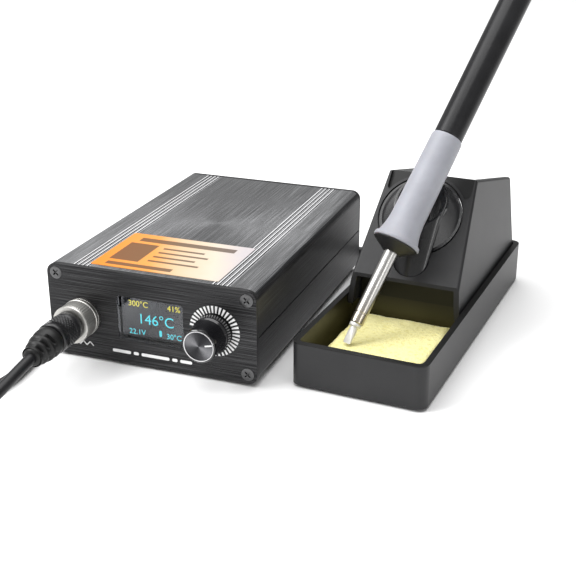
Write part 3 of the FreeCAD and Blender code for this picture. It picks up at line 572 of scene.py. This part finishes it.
def finish_piece(obj, material, body, parts=()):
    """Gives a piece its material, its body and the CAD nodes that it stands for."""
    obj.data.materials.append(M[material])
    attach(obj, body)
    if parts:
        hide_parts(*parts)


def smooth(obj, angle=32):
    """Smooth shading, with edges sharper than the angle left crisp."""
    obj.data.shade_smooth()
    obj.data.set_sharp_from_angle(angle=math.radians(angle))


def soften(obj, width=0.25, segments=2, angle=28):
    """Rounds the sharp edges, as a moulded or machined piece has them."""
    weld = obj.modifiers.new("weld", "WELD")
    weld.merge_threshold = WELD_GAP
    bevel = obj.modifiers.new("edges", "BEVEL")
    bevel.width = width * MM
    bevel.segments = segments
    bevel.limit_method = "ANGLE"
    bevel.angle_limit = math.radians(angle)
    smooth(obj)
    even = obj.modifiers.new("even", "WEIGHTED_NORMAL")
    even.keep_sharp = True


def mesh_piece(name, points, faces, matrix=Matrix()):
    """A mesh from points in millimetres in a local frame."""
    mesh = bpy.data.meshes.new(name)
    places = [matrix @ (Vector(p) * MM) for p in points]
    mesh.from_pydata(places, [], faces)
    mesh.validate()
    built = bmesh.new()
    built.from_mesh(mesh)
    bmesh.ops.remove_doubles(built, verts=built.verts, dist=SAME_POINT)
    bmesh.ops.recalc_face_normals(built, faces=built.faces)
    built.to_mesh(mesh)
    built.free()
    obj = bpy.data.objects.new(name, mesh)
    bpy.context.collection.objects.link(obj)
    return obj


def lathe(name, outline, matrix, segments=64, shape=None):
    """A turned piece round the local Z axis. outline is closed, of (radius, height);
    shape, if given, changes the radius by angle and height."""
    points, faces = [], []
    count = len(outline)
    for i in range(segments):
        angle = 2 * math.pi * i / segments
        for r, z in outline:
            reach = shape(angle, r, z) if shape else r
            points.append((reach * math.cos(angle), reach * math.sin(angle), z))
    for i in range(segments):
        j = (i + 1) % segments
        for k in range(count):
            m = (k + 1) % count
            if outline[k][0] < AXIS_RADIUS and outline[m][0] < AXIS_RADIUS:
                continue
            faces.append((i * count + k, j * count + k, j * count + m, i * count + m))
    return mesh_piece(name, points, faces, matrix)


def along_y(x, z):
    """A frame whose Z axis runs along the station's +Y, at a point of its front panel."""
    return CASE @ Matrix.Translation(Vector((x, 0, z)) * MM) @ Matrix.Rotation(math.radians(-90), 4, "X")


def join(name, objects):
    """One object from several meshes."""
    built = bmesh.new()
    for obj in objects:
        built.from_mesh(obj.data)
    mesh = bpy.data.meshes.new(name)
    built.to_mesh(mesh)
    built.free()
    for obj in objects:
        bpy.data.objects.remove(obj)
    result = bpy.data.objects.new(name, mesh)
    bpy.context.collection.objects.link(result)
    return result


def dress(node, material, bevel=0.2, segments=2):
    """A CAD node shown as it is, with its edges softened and its material."""
    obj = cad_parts[node]
    obj.data.materials.clear()
    obj.data.materials.append(M[material])
    if bevel:
        soften(obj, bevel, segments)
    else:
        smooth(obj)
    return obj


# ---------------------------------------------------------------- station case


PANEL_EDGE = 0.12
UPWARD = 0.8


def paint_sheen_by_facing(node, top, side):
    """Faces that look up get one material, a copy painted lighter for sheen, and the rest another."""
    obj = dress(node, side, PANEL_EDGE)
    obj.data.materials.append(M[top])
    for face in obj.data.polygons:
        if face.normal.z > UPWARD:
            face.material_index = 1


def station_case():
    """The extruded case with its panels, screws, feet and printed film."""
    paint_sheen_by_facing("top_shell", "case_top_painted_sheen", "case_side")
    dress("bottom_shell", "case_side", PANEL_EDGE)
    dress("front_panel", "panel", PANEL_EDGE)
    dress("rear_panel", "panel", PANEL_EDGE)
    dress("front_panel_screws", "oxide", 0.1)
    dress("rear_panel_screws", "oxide", 0.1)
    dress("case_feet", "rubber", 0.25)
    dress("top_label", "label", 0)


def inner_pieces():
    """The CAD nodes that are shown as they are, hidden ones among them."""
    plain = {
        "display_window": "window",
        "display_module": "screen",
        "control_board": "board",
        "board_chips": "black",
        "encoder_body": "steel",
        "encoder_nut": "nickel",
        "encoder_rotor": "black",
        "encoder_shaft": "nickel",
        "knob_grub_screw": "steel",
        "socket_body": "nickel",
        "socket_nut": "nickel",
        "socket_insert": "black",
        "socket_pins": "brass",
        "plug_insert": "black",
        "power_board": "board",
        "transformer_core": "ferrite",
        "transformer_winding": "copper",
        "input_capacitor": "black",
        "output_capacitors": "black",
        "heat_sinks": "case_side",
        "line_fuse": "ceramic",
        "mains_inlet": "black",
        "inlet_pins": "nickel",
        "switch_housing": "black",
        "power_rocker": "gloss",
        "stand_feet": "rubber",
        "heater_core": "ceramic",
        "cartridge_contacts": "nickel",
        "front_cap": "black",
        "handle_tube": "handle",
        "cartridge_guide": "brass",
        "contact_block": "black",
        "contact_strips": "brass",
        "handle_board": "board",
        "end_cap": "handle",
    }
    small = {"display_window", "contact_strips", "board_chips", "socket_pins"}
    for node, material in plain.items():
        dress(node, material, 0 if node in small else 0.15)


# ---------------------------------------------------------------- front panel


def text_piece(name, words, x, z, size, material, align="LEFT"):
    """Flat figures on the screen; align says which end of their foot line x gives."""
    data = bpy.data.curves.new(name, "FONT")
    data.body = words
    data.size = size * MM
    data.align_x = align
    data.extrude = 0.00002
    obj = bpy.data.objects.new(name, data)
    upright = Matrix.Rotation(math.radians(90), 4, "X")
    obj.matrix_world = CASE @ Matrix.Translation(Vector((x, FIGURE_FACE, z)) * MM) @ upright
    bpy.context.collection.objects.link(obj)
    bpy.context.view_layer.update()
    mesh = bpy.data.meshes.new_from_object(obj)
    mesh.transform(obj.matrix_world)
    solid = bpy.data.objects.new(name, mesh)
    bpy.context.collection.objects.link(solid)
    bpy.data.objects.remove(obj)
    finish_piece(solid, material, ROOT)


def display_figures():
    """Plain numbers with their units, and a small upright mark."""
    x0, x1, z0, z1 = WINDOW
    text_piece("set_figure", "300°C", x0 + 3.4, z1 - 4.6, 3.3, "yellow")
    text_piece("load_figure", "41%", x1 - 2.4, z1 - 4.6, 3.3, "yellow", "RIGHT")
    text_piece("main_figure", "146°C", (x0 + x1) / 2 + 1.0, z0 + 6.6, 6.0, "cyan", "CENTER")
    text_piece("volt_figure", "22.1V", x0 + 3.2, z0 + 1.8, 3.1, "cyan")
    text_piece("room_figure", "30°C", x1 - 2.2, z0 + 1.8, 3.1, "cyan", "RIGHT")
    stem = [(x1 - 11.2 + x, z0 + 2.2 + z) for x, z in round_outline(0.55, 2.6, 0.5)]
    mark = panel_print("room_mark", stem, FIGURE_FACE - 0.02, FIGURE_FACE + 0.02)
    finish_piece(mark, "cyan", ROOT)


def round_outline(half_w, height, radius, steps=4):
    """A rounded rectangle's outline, standing on z = 0 and centred on x = 0."""
    points = []
    corners = [
        (half_w - radius, height - radius, 0),
        (-half_w + radius, height - radius, 90),
        (-half_w + radius, radius, 180),
        (half_w - radius, radius, 270),
    ]
    for cx, cz, start in corners:
        for i in range(steps + 1):
            a = math.radians(start + 90 * i / steps)
            points.append((cx + radius * math.cos(a), cz + radius * math.sin(a)))
    return points


def panel_print(name, outline, y0=PRINT_FRONT, y1=PRINT_BACK):
    """A flat printed mark, on the front panel unless said otherwise, from its (x, z) outline."""
    count = len(outline)
    points = [(x, y, z) for y in (y0, y1) for x, z in outline]
    faces = [tuple(range(count)), tuple(range(2 * count - 1, count - 1, -1))]
    faces += [(i, (i + 1) % count, count + (i + 1) % count, count + i) for i in range(count)]
    return mesh_piece(name, points, faces, CASE)


def dial_wedge(angle, inner, outer, inner_half, outer_half):
    """The outline of a bar that points away from the knob's axis."""
    cos, sin = math.cos(angle), math.sin(angle)
    outline = []
    for r, half in ((inner, inner_half), (outer, outer_half), (outer, -outer_half), (inner, -inner_half)):
        outline.append((KNOB_X + r * cos - half * sin, KNOB_Z + r * sin + half * cos))
    return outline


def dial_marks():
    """The ring of printed marks round the knob; the last few grow shorter."""
    marks = []
    count, full = 28, 23
    for i in range(count):
        angle = math.radians(172 - 262 * i / (count - 1))
        inner = TICK_OUTER - TICK_LENGTH + 0.5 * max(0, i - full + 1)
        marks.append(panel_print(f"mark_{i}", dial_wedge(angle, inner, TICK_OUTER, 0.26, 0.48)))
    finish_piece(join("dial_marks", marks), "white", ROOT)


def panel_marks():
    """Plain marks where the panel carries words: rules under the screen and a heater sign."""
    low, height = 4.1, 1.3
    bars = (27.0, 8.0), (36.2, 2.2), (39.6, 12.0), (52.8, 2.2), (56.2, 5.0)
    marks = []
    for i, (x, w) in enumerate(bars):
        outline = [(x + w / 2 + a, low + b) for a, b in round_outline(w / 2, height, 0.5)]
        marks.append(panel_print(f"bar_{i}", outline))
    zigzag = [(11.0 + 1.5 * i, 5.0 if i % 2 else 6.6) for i in range(6)]
    for i, (a, b) in enumerate(zip(zigzag, zigzag[1:])):
        side = Vector((a[1] - b[1], b[0] - a[0])).normalized() * 0.2
        corners = ((a, 1), (a, -1), (b, -1), (b, 1))
        outline = [(end[0] + sign * side.x, end[1] + sign * side.y) for end, sign in corners]
        marks.append(panel_print(f"sign_{i}", outline))
    finish_piece(join("panel_marks", marks), "white", ROOT)


def knob_piece():
    """The gloss knob: a rolled rim and a dark spun metal face with a bright edge and a pointer."""
    outline = [(0, -14.0), (6.0, -14.0), (6.05, -14.4), (6.3, -14.45), (6.55, -14.2), (6.62, -13.7)]
    outline += [(6.66, -10.0), (6.72, -5.6), (7.0, -5.0), (7.25, -4.6), (7.3, -4.2), (7.3, -1.6)]
    outline += [(7.1, -1.2), (6.3, -1.2), (6.2, -1.5), (6.2, -4.6), (0, -4.6)]
    body = lathe("knob_body", outline, along_y(KNOB_X, KNOB_Z), 128)
    smooth(body, 35)
    finish_piece(body, "gloss", "dial", ["knob"])
    face = [(0, -14.38), (0.5, -14.4), (5.1, -14.25), (5.4, -14.15), (5.55, -14.15), (5.7, -14.4)]
    face += [(5.95, -14.45), (6.0, -14.3), (6.0, -14.0), (0, -14.0)]
    disc = lathe("knob_disc", face, along_y(KNOB_X, KNOB_Z), 96)
    smooth(disc, 30)
    finish_piece(disc, "spun", "dial", ["knob_face"])
    pointer = dial_wedge(math.radians(12), 2.6, 5.4, 0.28, 0.28)
    finish_piece(panel_print("knob_pointer", pointer, KNOB_FRONT - 0.07, KNOB_FRONT + 0.2), "white", "dial")


# ---------------------------------------------------------------- plug


def knurl(count, depth, low, high, twist=0.0):
    """A function that presses a knurl into a band of a turned piece."""

    def press(angle, r, z):
        if not low <= z <= high:
            return r
        ridge = math.cos(count * angle + twist * z)
        if twist:
            ridge = min(ridge, math.cos(count * angle - twist * z))
        return r - depth * (0.5 - 0.5 * ridge)

    return press


def heights(low, high, step):
    """Evenly spaced heights from low to high, about a step apart."""
    count = max(1, round((high - low) / step))
    return [low + (high - low) * i / count for i in range(count + 1)]


def plug_pieces():
    """The coupling ring and the plug's shell, each with its knurl, and the boot."""
    at = along_y(SOCKET_X, SOCKET_Z)
    ring = [(5.8, -9.4), (5.0, -9.5), (5.0, -10.1), (7.2, -10.3), (7.55, -10.15), (7.7, -9.8)]
    ring += [(7.7, -9.2), (7.5, -8.95)]
    ring += [(7.6, z) for z in heights(-8.8, -3.6, 0.6)]
    ring += [(7.5, -3.45), (7.72, -3.2), (7.72, -2.5), (7.55, -2.1), (7.2, -1.95), (5.85, -1.95)]
    nut = lathe("coupling_nut", ring, at, 240, knurl(48, 0.14, -8.85, -3.55))
    smooth(nut, 38)
    finish_piece(nut, "ring", "ring", ["coupling_ring"])

    shell = [(4.05, -23.9), (5.7, -23.95), (6.1, -23.7), (6.2, -23.2), (6.2, -20.4), (6.0, -20.25)]
    shell += [(6.25, -20.1)] + [(6.35, z) for z in heights(-20.0, -15.0, 0.25)]
    shell += [(6.25, -14.9), (6.0, -14.8), (6.1, -14.6), (6.1, -11.4), (5.9, -10.9), (5.5, -10.6)]
    shell += [(4.8, -10.55), (4.8, -9.45), (5.5, -9.4), (5.6, -9.2), (5.6, -8.2), (4.2, -8.1), (4.05, -8.1)]
    body = lathe("plug_body", shell, at, 240, knurl(26, 0.3, -20.0, -15.0, 26 / 6.3))
    smooth(body, 60)
    finish_piece(body, "plug", ROOT, ["plug_shell"])
    boot_piece()


def boot_piece():
    """The rubber boot: rings joined by four ribs, so that oval slots show between them."""
    start = CASE @ (Vector((SOCKET_X, -24.0, SOCKET_Z)) * MM)
    end = Vector(PLUG_EXIT) * MM
    axis = (end - start).normalized()
    length = (end - start).length / MM
    turn = Vector((0, 0, 1)).rotation_difference(axis).to_matrix().to_4x4()
    at = Matrix.Translation(start) @ turn
    outline = [(0, 0.1), (5.6, 0.1), (5.9, 0.4), (5.95, 3.2), (5.7, 3.6)]
    steps = (0, 0), (0.05, 0.25), (0.12, 0.65), (0.2, 1.1), (0.3, 1.5), (0.1, 1.8), (0.25, 2.7)
    slots = []
    for i in range(3):
        s = 4.2 + 3.0 * i
        wide = 5.75 - 0.72 * i
        outline += [(wide - inset, s + rise) for inset, rise in steps]
        slots.append((s + 0.1, s + 1.4))
    outline += [(3.7, length - 1.0), (3.3, length - 0.2), (2.9, length), (0, length)]

    def slotted(angle, r, z):
        for low, high in slots:
            if low < z < high and r > 3.0:
                open_part = max(0.0, min(1.0, 2.2 * math.sin(2 * angle) ** 2 - 0.55))
                return r - 1.1 * open_part
        return r

    boot = lathe("boot_sleeve", outline, at, 96, slotted)
    smooth(boot, 50)
    finish_piece(boot, "rubber", ROOT, ["plug_boot"])


# ---------------------------------------------------------------- stand and sponge


def stand_pieces():
    """The moulded stand; the parts' shapes are the CAD nodes' own, with their edges rounded."""
    dress("tray", "tray", 0.5, 3)
    dress("holder_hood", "hood", 0.3, 3)
    dress("iron_receptacle", "insert", 0.25, 2)


def sponge_piece():
    """The wiping pad: rounded over at its wavy cut edges, with open pores in its top."""
    x0, x1, y0, y1, low, high = 6.3, 46.7, 5.7, 56.3, 2.05, 9.45
    nx, ny = 84, 104
    points, faces = [], []

    def rough(x, y, scale, seed):
        return noise.noise(Vector((x * scale, y * scale, seed)))

    for layer in range(2):
        for j in range(ny + 1):
            for i in range(nx + 1):
                u, v = i / nx, j / ny
                x, y = x0 + (x1 - x0) * u, y0 + (y1 - y0) * v
                edge = min(u, 1 - u) * (x1 - x0), min(v, 1 - v) * (y1 - y0)
                pull = 1.1 * (0.5 + 0.5 * rough(x, y, 0.16, 3.0)) + 0.7 * abs(rough(x, y, 0.8, 2.0))
                x += (1 if u < 0.5 else -1) * pull * math.exp(-edge[0] / 3.0)
                y += (1 if v < 0.5 else -1) * pull * math.exp(-edge[1] / 3.0)
                near = min(edge)
                round_off = 1.3 * math.exp(-near / 0.9)
                if layer:
                    pores = 0.28 * abs(rough(x, y, 1.1, 0.5)) + 0.16 * abs(rough(x, y, 2.6, 4.5))
                    z = high - 0.35 + 0.25 * rough(x, y, 0.16, 9.0) - round_off - pores
                else:
                    z = low + 0.5 * math.exp(-near / 0.9)
                points.append((x, y, z))
    size = (nx + 1) * (ny + 1)

    def at(i, j, layer):
        return layer * size + j * (nx + 1) + i

    for j in range(ny):
        for i in range(nx):
            faces.append((at(i, j, 1), at(i + 1, j, 1), at(i + 1, j + 1, 1), at(i, j + 1, 1)))
            faces.append((at(i, j, 0), at(i, j + 1, 0), at(i + 1, j + 1, 0), at(i + 1, j, 0)))
    for i in range(nx):
        faces.append((at(i, 0, 0), at(i + 1, 0, 0), at(i + 1, 0, 1), at(i, 0, 1)))
        faces.append((at(i, ny, 0), at(i, ny, 1), at(i + 1, ny, 1), at(i + 1, ny, 0)))
    for j in range(ny):
        faces.append((at(0, j, 0), at(0, j, 1), at(0, j + 1, 1), at(0, j + 1, 0)))
        faces.append((at(nx, j, 0), at(nx, j + 1, 0), at(nx, j + 1, 1), at(nx, j, 1)))
    pad = mesh_piece("sponge_pad", points, faces, STAND)
    smooth(pad, 60)
    finish_piece(pad, "sponge", ROOT, ["sponge"])


# ---------------------------------------------------------------- iron


def iron_pieces():
    """The turned parts of the iron that are seen; the rest are the CAD nodes."""
    sheath = [(2.3, 8.6), (2.5, 8.6), (2.72, 8.9), (2.72, 12.4), (2.55, 12.6), (2.55, 13.0), (2.75, 13.2)]
    sheath += [(2.75, 40.0), (2.75, 99.8), (2.6, 100.0), (2.3, 100.0)]
    obj = lathe("cartridge_tube", sheath, IRON, 64)
    smooth(obj, 30)
    finish_piece(obj, "shaft", "iron", ["cartridge_sheath"])

    lip = (5.33, 0.1), (8.9, 0.05), (9.3, 0.15), (9.5, 0.5), (9.5, 1.0), (9.3, 1.7)
    grip = [(r, FLARE + s) for r, s in lip]
    grip += [(grip_radius(s), s) for s in heights(FLARE + 2.4, GRIP_END - 1.2, 1.2)]
    grip += [(6.3, GRIP_END - 0.5), (6.05, GRIP_END - 0.1), (5.33, GRIP_END)]
    obj = lathe("grip_sleeve", grip, IRON, 96)
    smooth(obj, 40)
    finish_piece(obj, "grip", "iron", ["grip"])
    blade_piece()
    relief_piece()


def grip_radius(s):
    """The grip's outline: a trumpet that flares at the front and tapers to the handle."""
    if s >= WAIST:
        return 6.8 - 0.4 * (s - WAIST) / (GRIP_END - WAIST)
    t = (WAIST - s) / (WAIST - FLARE)
    return 6.8 + 2.6 * t**2.4


def blade_piece():
    """The tip: a round collar and neck drawn out to a flat chisel blade."""
    rows = [(8.6, 2.2, 2.2, 1.0), (8.3, 2.4, 2.4, 1.0), (7.3, 2.4, 2.4, 1.0), (7.0, 2.15, 2.15, 1.0)]
    rows += [(6.9, 1.55, 1.55, 1.0), (6.0, 1.6, 1.45, 0.95), (4.8, 1.72, 1.25, 0.8)]
    rows += [(3.4, 1.75, 0.95, 0.6), (1.8, 1.72, 0.62, 0.4), (0.4, 1.7, 0.38, 0.3), (0.0, 1.6, 0.3, 0.3)]
    count = 48
    points, faces = [], []
    for s, wide, thick, power in rows:
        for i in range(count):
            a = 2 * math.pi * i / count
            x, y = (math.copysign(abs(c) ** power, c) for c in (math.cos(a), math.sin(a)))
            points.append((wide * x, thick * y, s))
    for k in range(len(rows) - 1):
        for i in range(count):
            j = (i + 1) % count
            faces.append((k * count + i, k * count + j, (k + 1) * count + j, (k + 1) * count + i))
    faces.append(tuple(range(count)))
    faces.append(tuple(range((len(rows) - 1) * count, len(rows) * count)))
    blade = mesh_piece("tip_blade", points, faces, IRON)
    smooth(blade, 40)
    finish_piece(blade, "blade", "iron", ["tip"])


def relief_piece():
    """The ribbed rubber sleeve where the cord leaves the handle."""
    outline = [(0, RELIEF_START), (4.1, RELIEF_START), (4.3, RELIEF_START + 0.3)]
    rib = (0, -0.2), (0.25, 0), (0.8, 0.3), (0.8, 1.6), (0.35, 1.9), (0.15, 2.2)
    ribs = 6
    step = (RELIEF_END - RELIEF_START - 4.0) / ribs
    for i in range(ribs):
        s, radius = RELIEF_START + 2.0 + step * i, 4.3 - 0.2 * i
        outline += [(radius - inset, s + rise) for inset, rise in rib]
    outline += [(3.0, RELIEF_END - 0.6), (2.8, RELIEF_END), (0, RELIEF_END)]

    def webs(angle, r, z):
        return max(r, 3.0 - 0.2 * (z - RELIEF_START) / 30) if r > 0.1 else r

    relief = lathe("cord_relief", outline, IRON, 64, webs)
    smooth(relief, 45)
    finish_piece(relief, "rubber", "iron", ["strain_relief"])


# ---------------------------------------------------------------- cord


LEAD_ROUTE = [
    (-69.0, -103.4, 17.4),
    (-69.0, -112.0, 16.2),
    (-69.6, -123.0, 13.6),
    (-72.5, -138.0, 8.6),
    (-81.5, -151.0, 4.0),
    (-95.0, -156.0, 2.4),
    (-107.5, -151.0, 2.4),
    (-112.5, -139.0, 2.4),
    (-108.0, -127.5, 2.4),
    (-97.5, -119.5, 2.4),
    (-87.4, -110.0, 2.4),
    (-84.4, -96.3, 2.4),
    (-85.8, -82.0, 2.4),
    (-88.2, -67.0, 2.4),
    (-89.0, -50.0, 2.4),
    (-89.3, -20.0, 2.4),
    (-89.0, 20.0, 2.4),
    (-89.2, 46.0, 2.4),
    (-88.2, 66.0, 2.4),
    (-80.2, 83.0, 2.4),
]
RUN_ROUTE = [
    (-17.0, 93.0, 2.4),
    (-12.0, 84.9, 2.4),
    (-3.4, 80.8, 2.4),
    (6.0, 81.8, 2.4),
    (14.0, 88.0, 2.4),
    (22.0, 94.2, 2.4),
    (28.5, 99.2, 7.2),
    (33.0, 102.7, 17.1),
    (30.2, 102.6, 45.3),
    (42.6, 114.4, 78.3),
    (54.4, 125.7, 109.9),
    (66.0, 135.5, 140.3),
    (74.3, 142.6, 162.2),
    (80.5, 144.0, 181.0),
    (86.0, 132.0, 199.0),
    (90.5, 112.0, 202.0),
    (88.6, 90.3, 184.5),
]
COIL_CENTRE = (-46.0, 99.0)
COIL_RADIUS = 27.4
COIL_STEP = 4.8


def coil_points():
    """Two turns inwards on the bench, then half a turn out over them."""
    points = []
    per_turn = 16
    for i in range(2 * per_turn + 1):
        t = i / per_turn
        radius = COIL_RADIUS - COIL_STEP * t
        points.append((radius, math.pi - 2 * math.pi * t, 2.4))
    for i in range(1, per_turn // 2 + 1):
        t = i / (per_turn / 2)
        lift = math.sin(math.pi * min(1.0, 0.12 + 0.88 * t)) ** 0.6
        radius = COIL_RADIUS - 2 * COIL_STEP + (2 * COIL_STEP + 1.6) * t**1.1
        points.append((radius, math.pi - math.pi * t, 2.4 + 4.8 * lift))
    x, y = COIL_CENTRE
    return [(x + r * math.cos(a), y + r * math.sin(a), z) for r, a, z in points]


def cord_piece():
    """One cord of even thickness along its whole route, from the plug to the iron's sleeve."""
    end = TIP_POINT / MM + IRON_AXIS * RELIEF_END
    route = LEAD_ROUTE + coil_points() + RUN_ROUTE + [tuple(end)]
    data = bpy.data.curves.new("iron_cord", "CURVE")
    data.dimensions = "3D"
    spline = data.splines.new("NURBS")
    spline.points.add(len(route) - 1)
    for point, place in zip(spline.points, route):
        point.co = (*(Vector(place) * MM), 1.0)
    spline.order_u = 3
    spline.use_endpoint_u = True
    data.resolution_u = 6
    line = bpy.data.objects.new("iron_cord_line", data)
    bpy.context.collection.objects.link(line)
    bpy.context.view_layer.update()
    path = [tuple(v.co) for v in bpy.data.meshes.new_from_object(line).vertices]
    data.bevel_depth = CORD_DIAMETER_M / 2
    data.bevel_resolution = 5
    data.use_fill_caps = True
    bpy.context.view_layer.update()
    mesh = bpy.data.meshes.new_from_object(line)
    bpy.data.objects.remove(line)
    length = sum((Vector(b) - Vector(a)).length for a, b in zip(path, path[1:]))
    print("cord length", round(length, 4), "points", len(path))
    mesh.shade_smooth()
    cord = bpy.data.objects.new("iron_cord", mesh)
    bpy.context.collection.objects.link(cord)
    cord.data.materials.append(M["cord"])
    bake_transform(cord)
    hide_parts("cord_lead", "cord_coil", "cord_run", "cord_rise")


# ---------------------------------------------------------------- stage and lights


def add_light(name, place, target, size, power):
    """A soft rectangular light, aimed at a point."""
    data = bpy.data.lights.new(name, "AREA")
    data.shape = "RECTANGLE"
    data.size, data.size_y = size
    data.energy = power
    light = bpy.data.objects.new(name, data)
    light.location = place
    light.rotation_euler = (Vector(target) - Vector(place)).to_track_quat("-Z", "Y").to_euler()
    bpy.context.collection.objects.link(light)


def stage():
    """A plain pale floor, an even white surround and three soft lights."""
    far = 4000
    corners = [(-far, -far, 0), (far, -far, 0), (far, far, 0), (-far, far, 0)]
    floor = mesh_piece("floor", corners, [(0, 1, 2, 3)])
    floor.data.materials.append(floor_paint())
    world = bpy.data.worlds.new("studio")
    world.use_nodes = True
    world.node_tree.nodes["Background"].inputs[0].default_value = (1, 1, 1, 1)
    world.node_tree.nodes["Background"].inputs[1].default_value = 0.42
    bpy.context.scene.world = world
    add_light("top", (-0.2, 0.1, 1.3), (0, 0, 0), (1.6, 1.6), 26)
    add_light("key", (-0.7, -0.5, 0.7), (0, 0, 0.03), (0.5, 0.5), 9)
    add_light("strip", (0.42, -0.3, 0.12), (0.06, -0.06, 0.01), (0.05, 0.3), 0.35)
    bpy.context.scene.view_settings.view_transform = "Standard"


station_case()
inner_pieces()
display_figures()
dial_marks()
panel_marks()
knob_piece()
plug_pieces()
stand_pieces()
sponge_piece()
iron_pieces()
cord_piece()
stage()
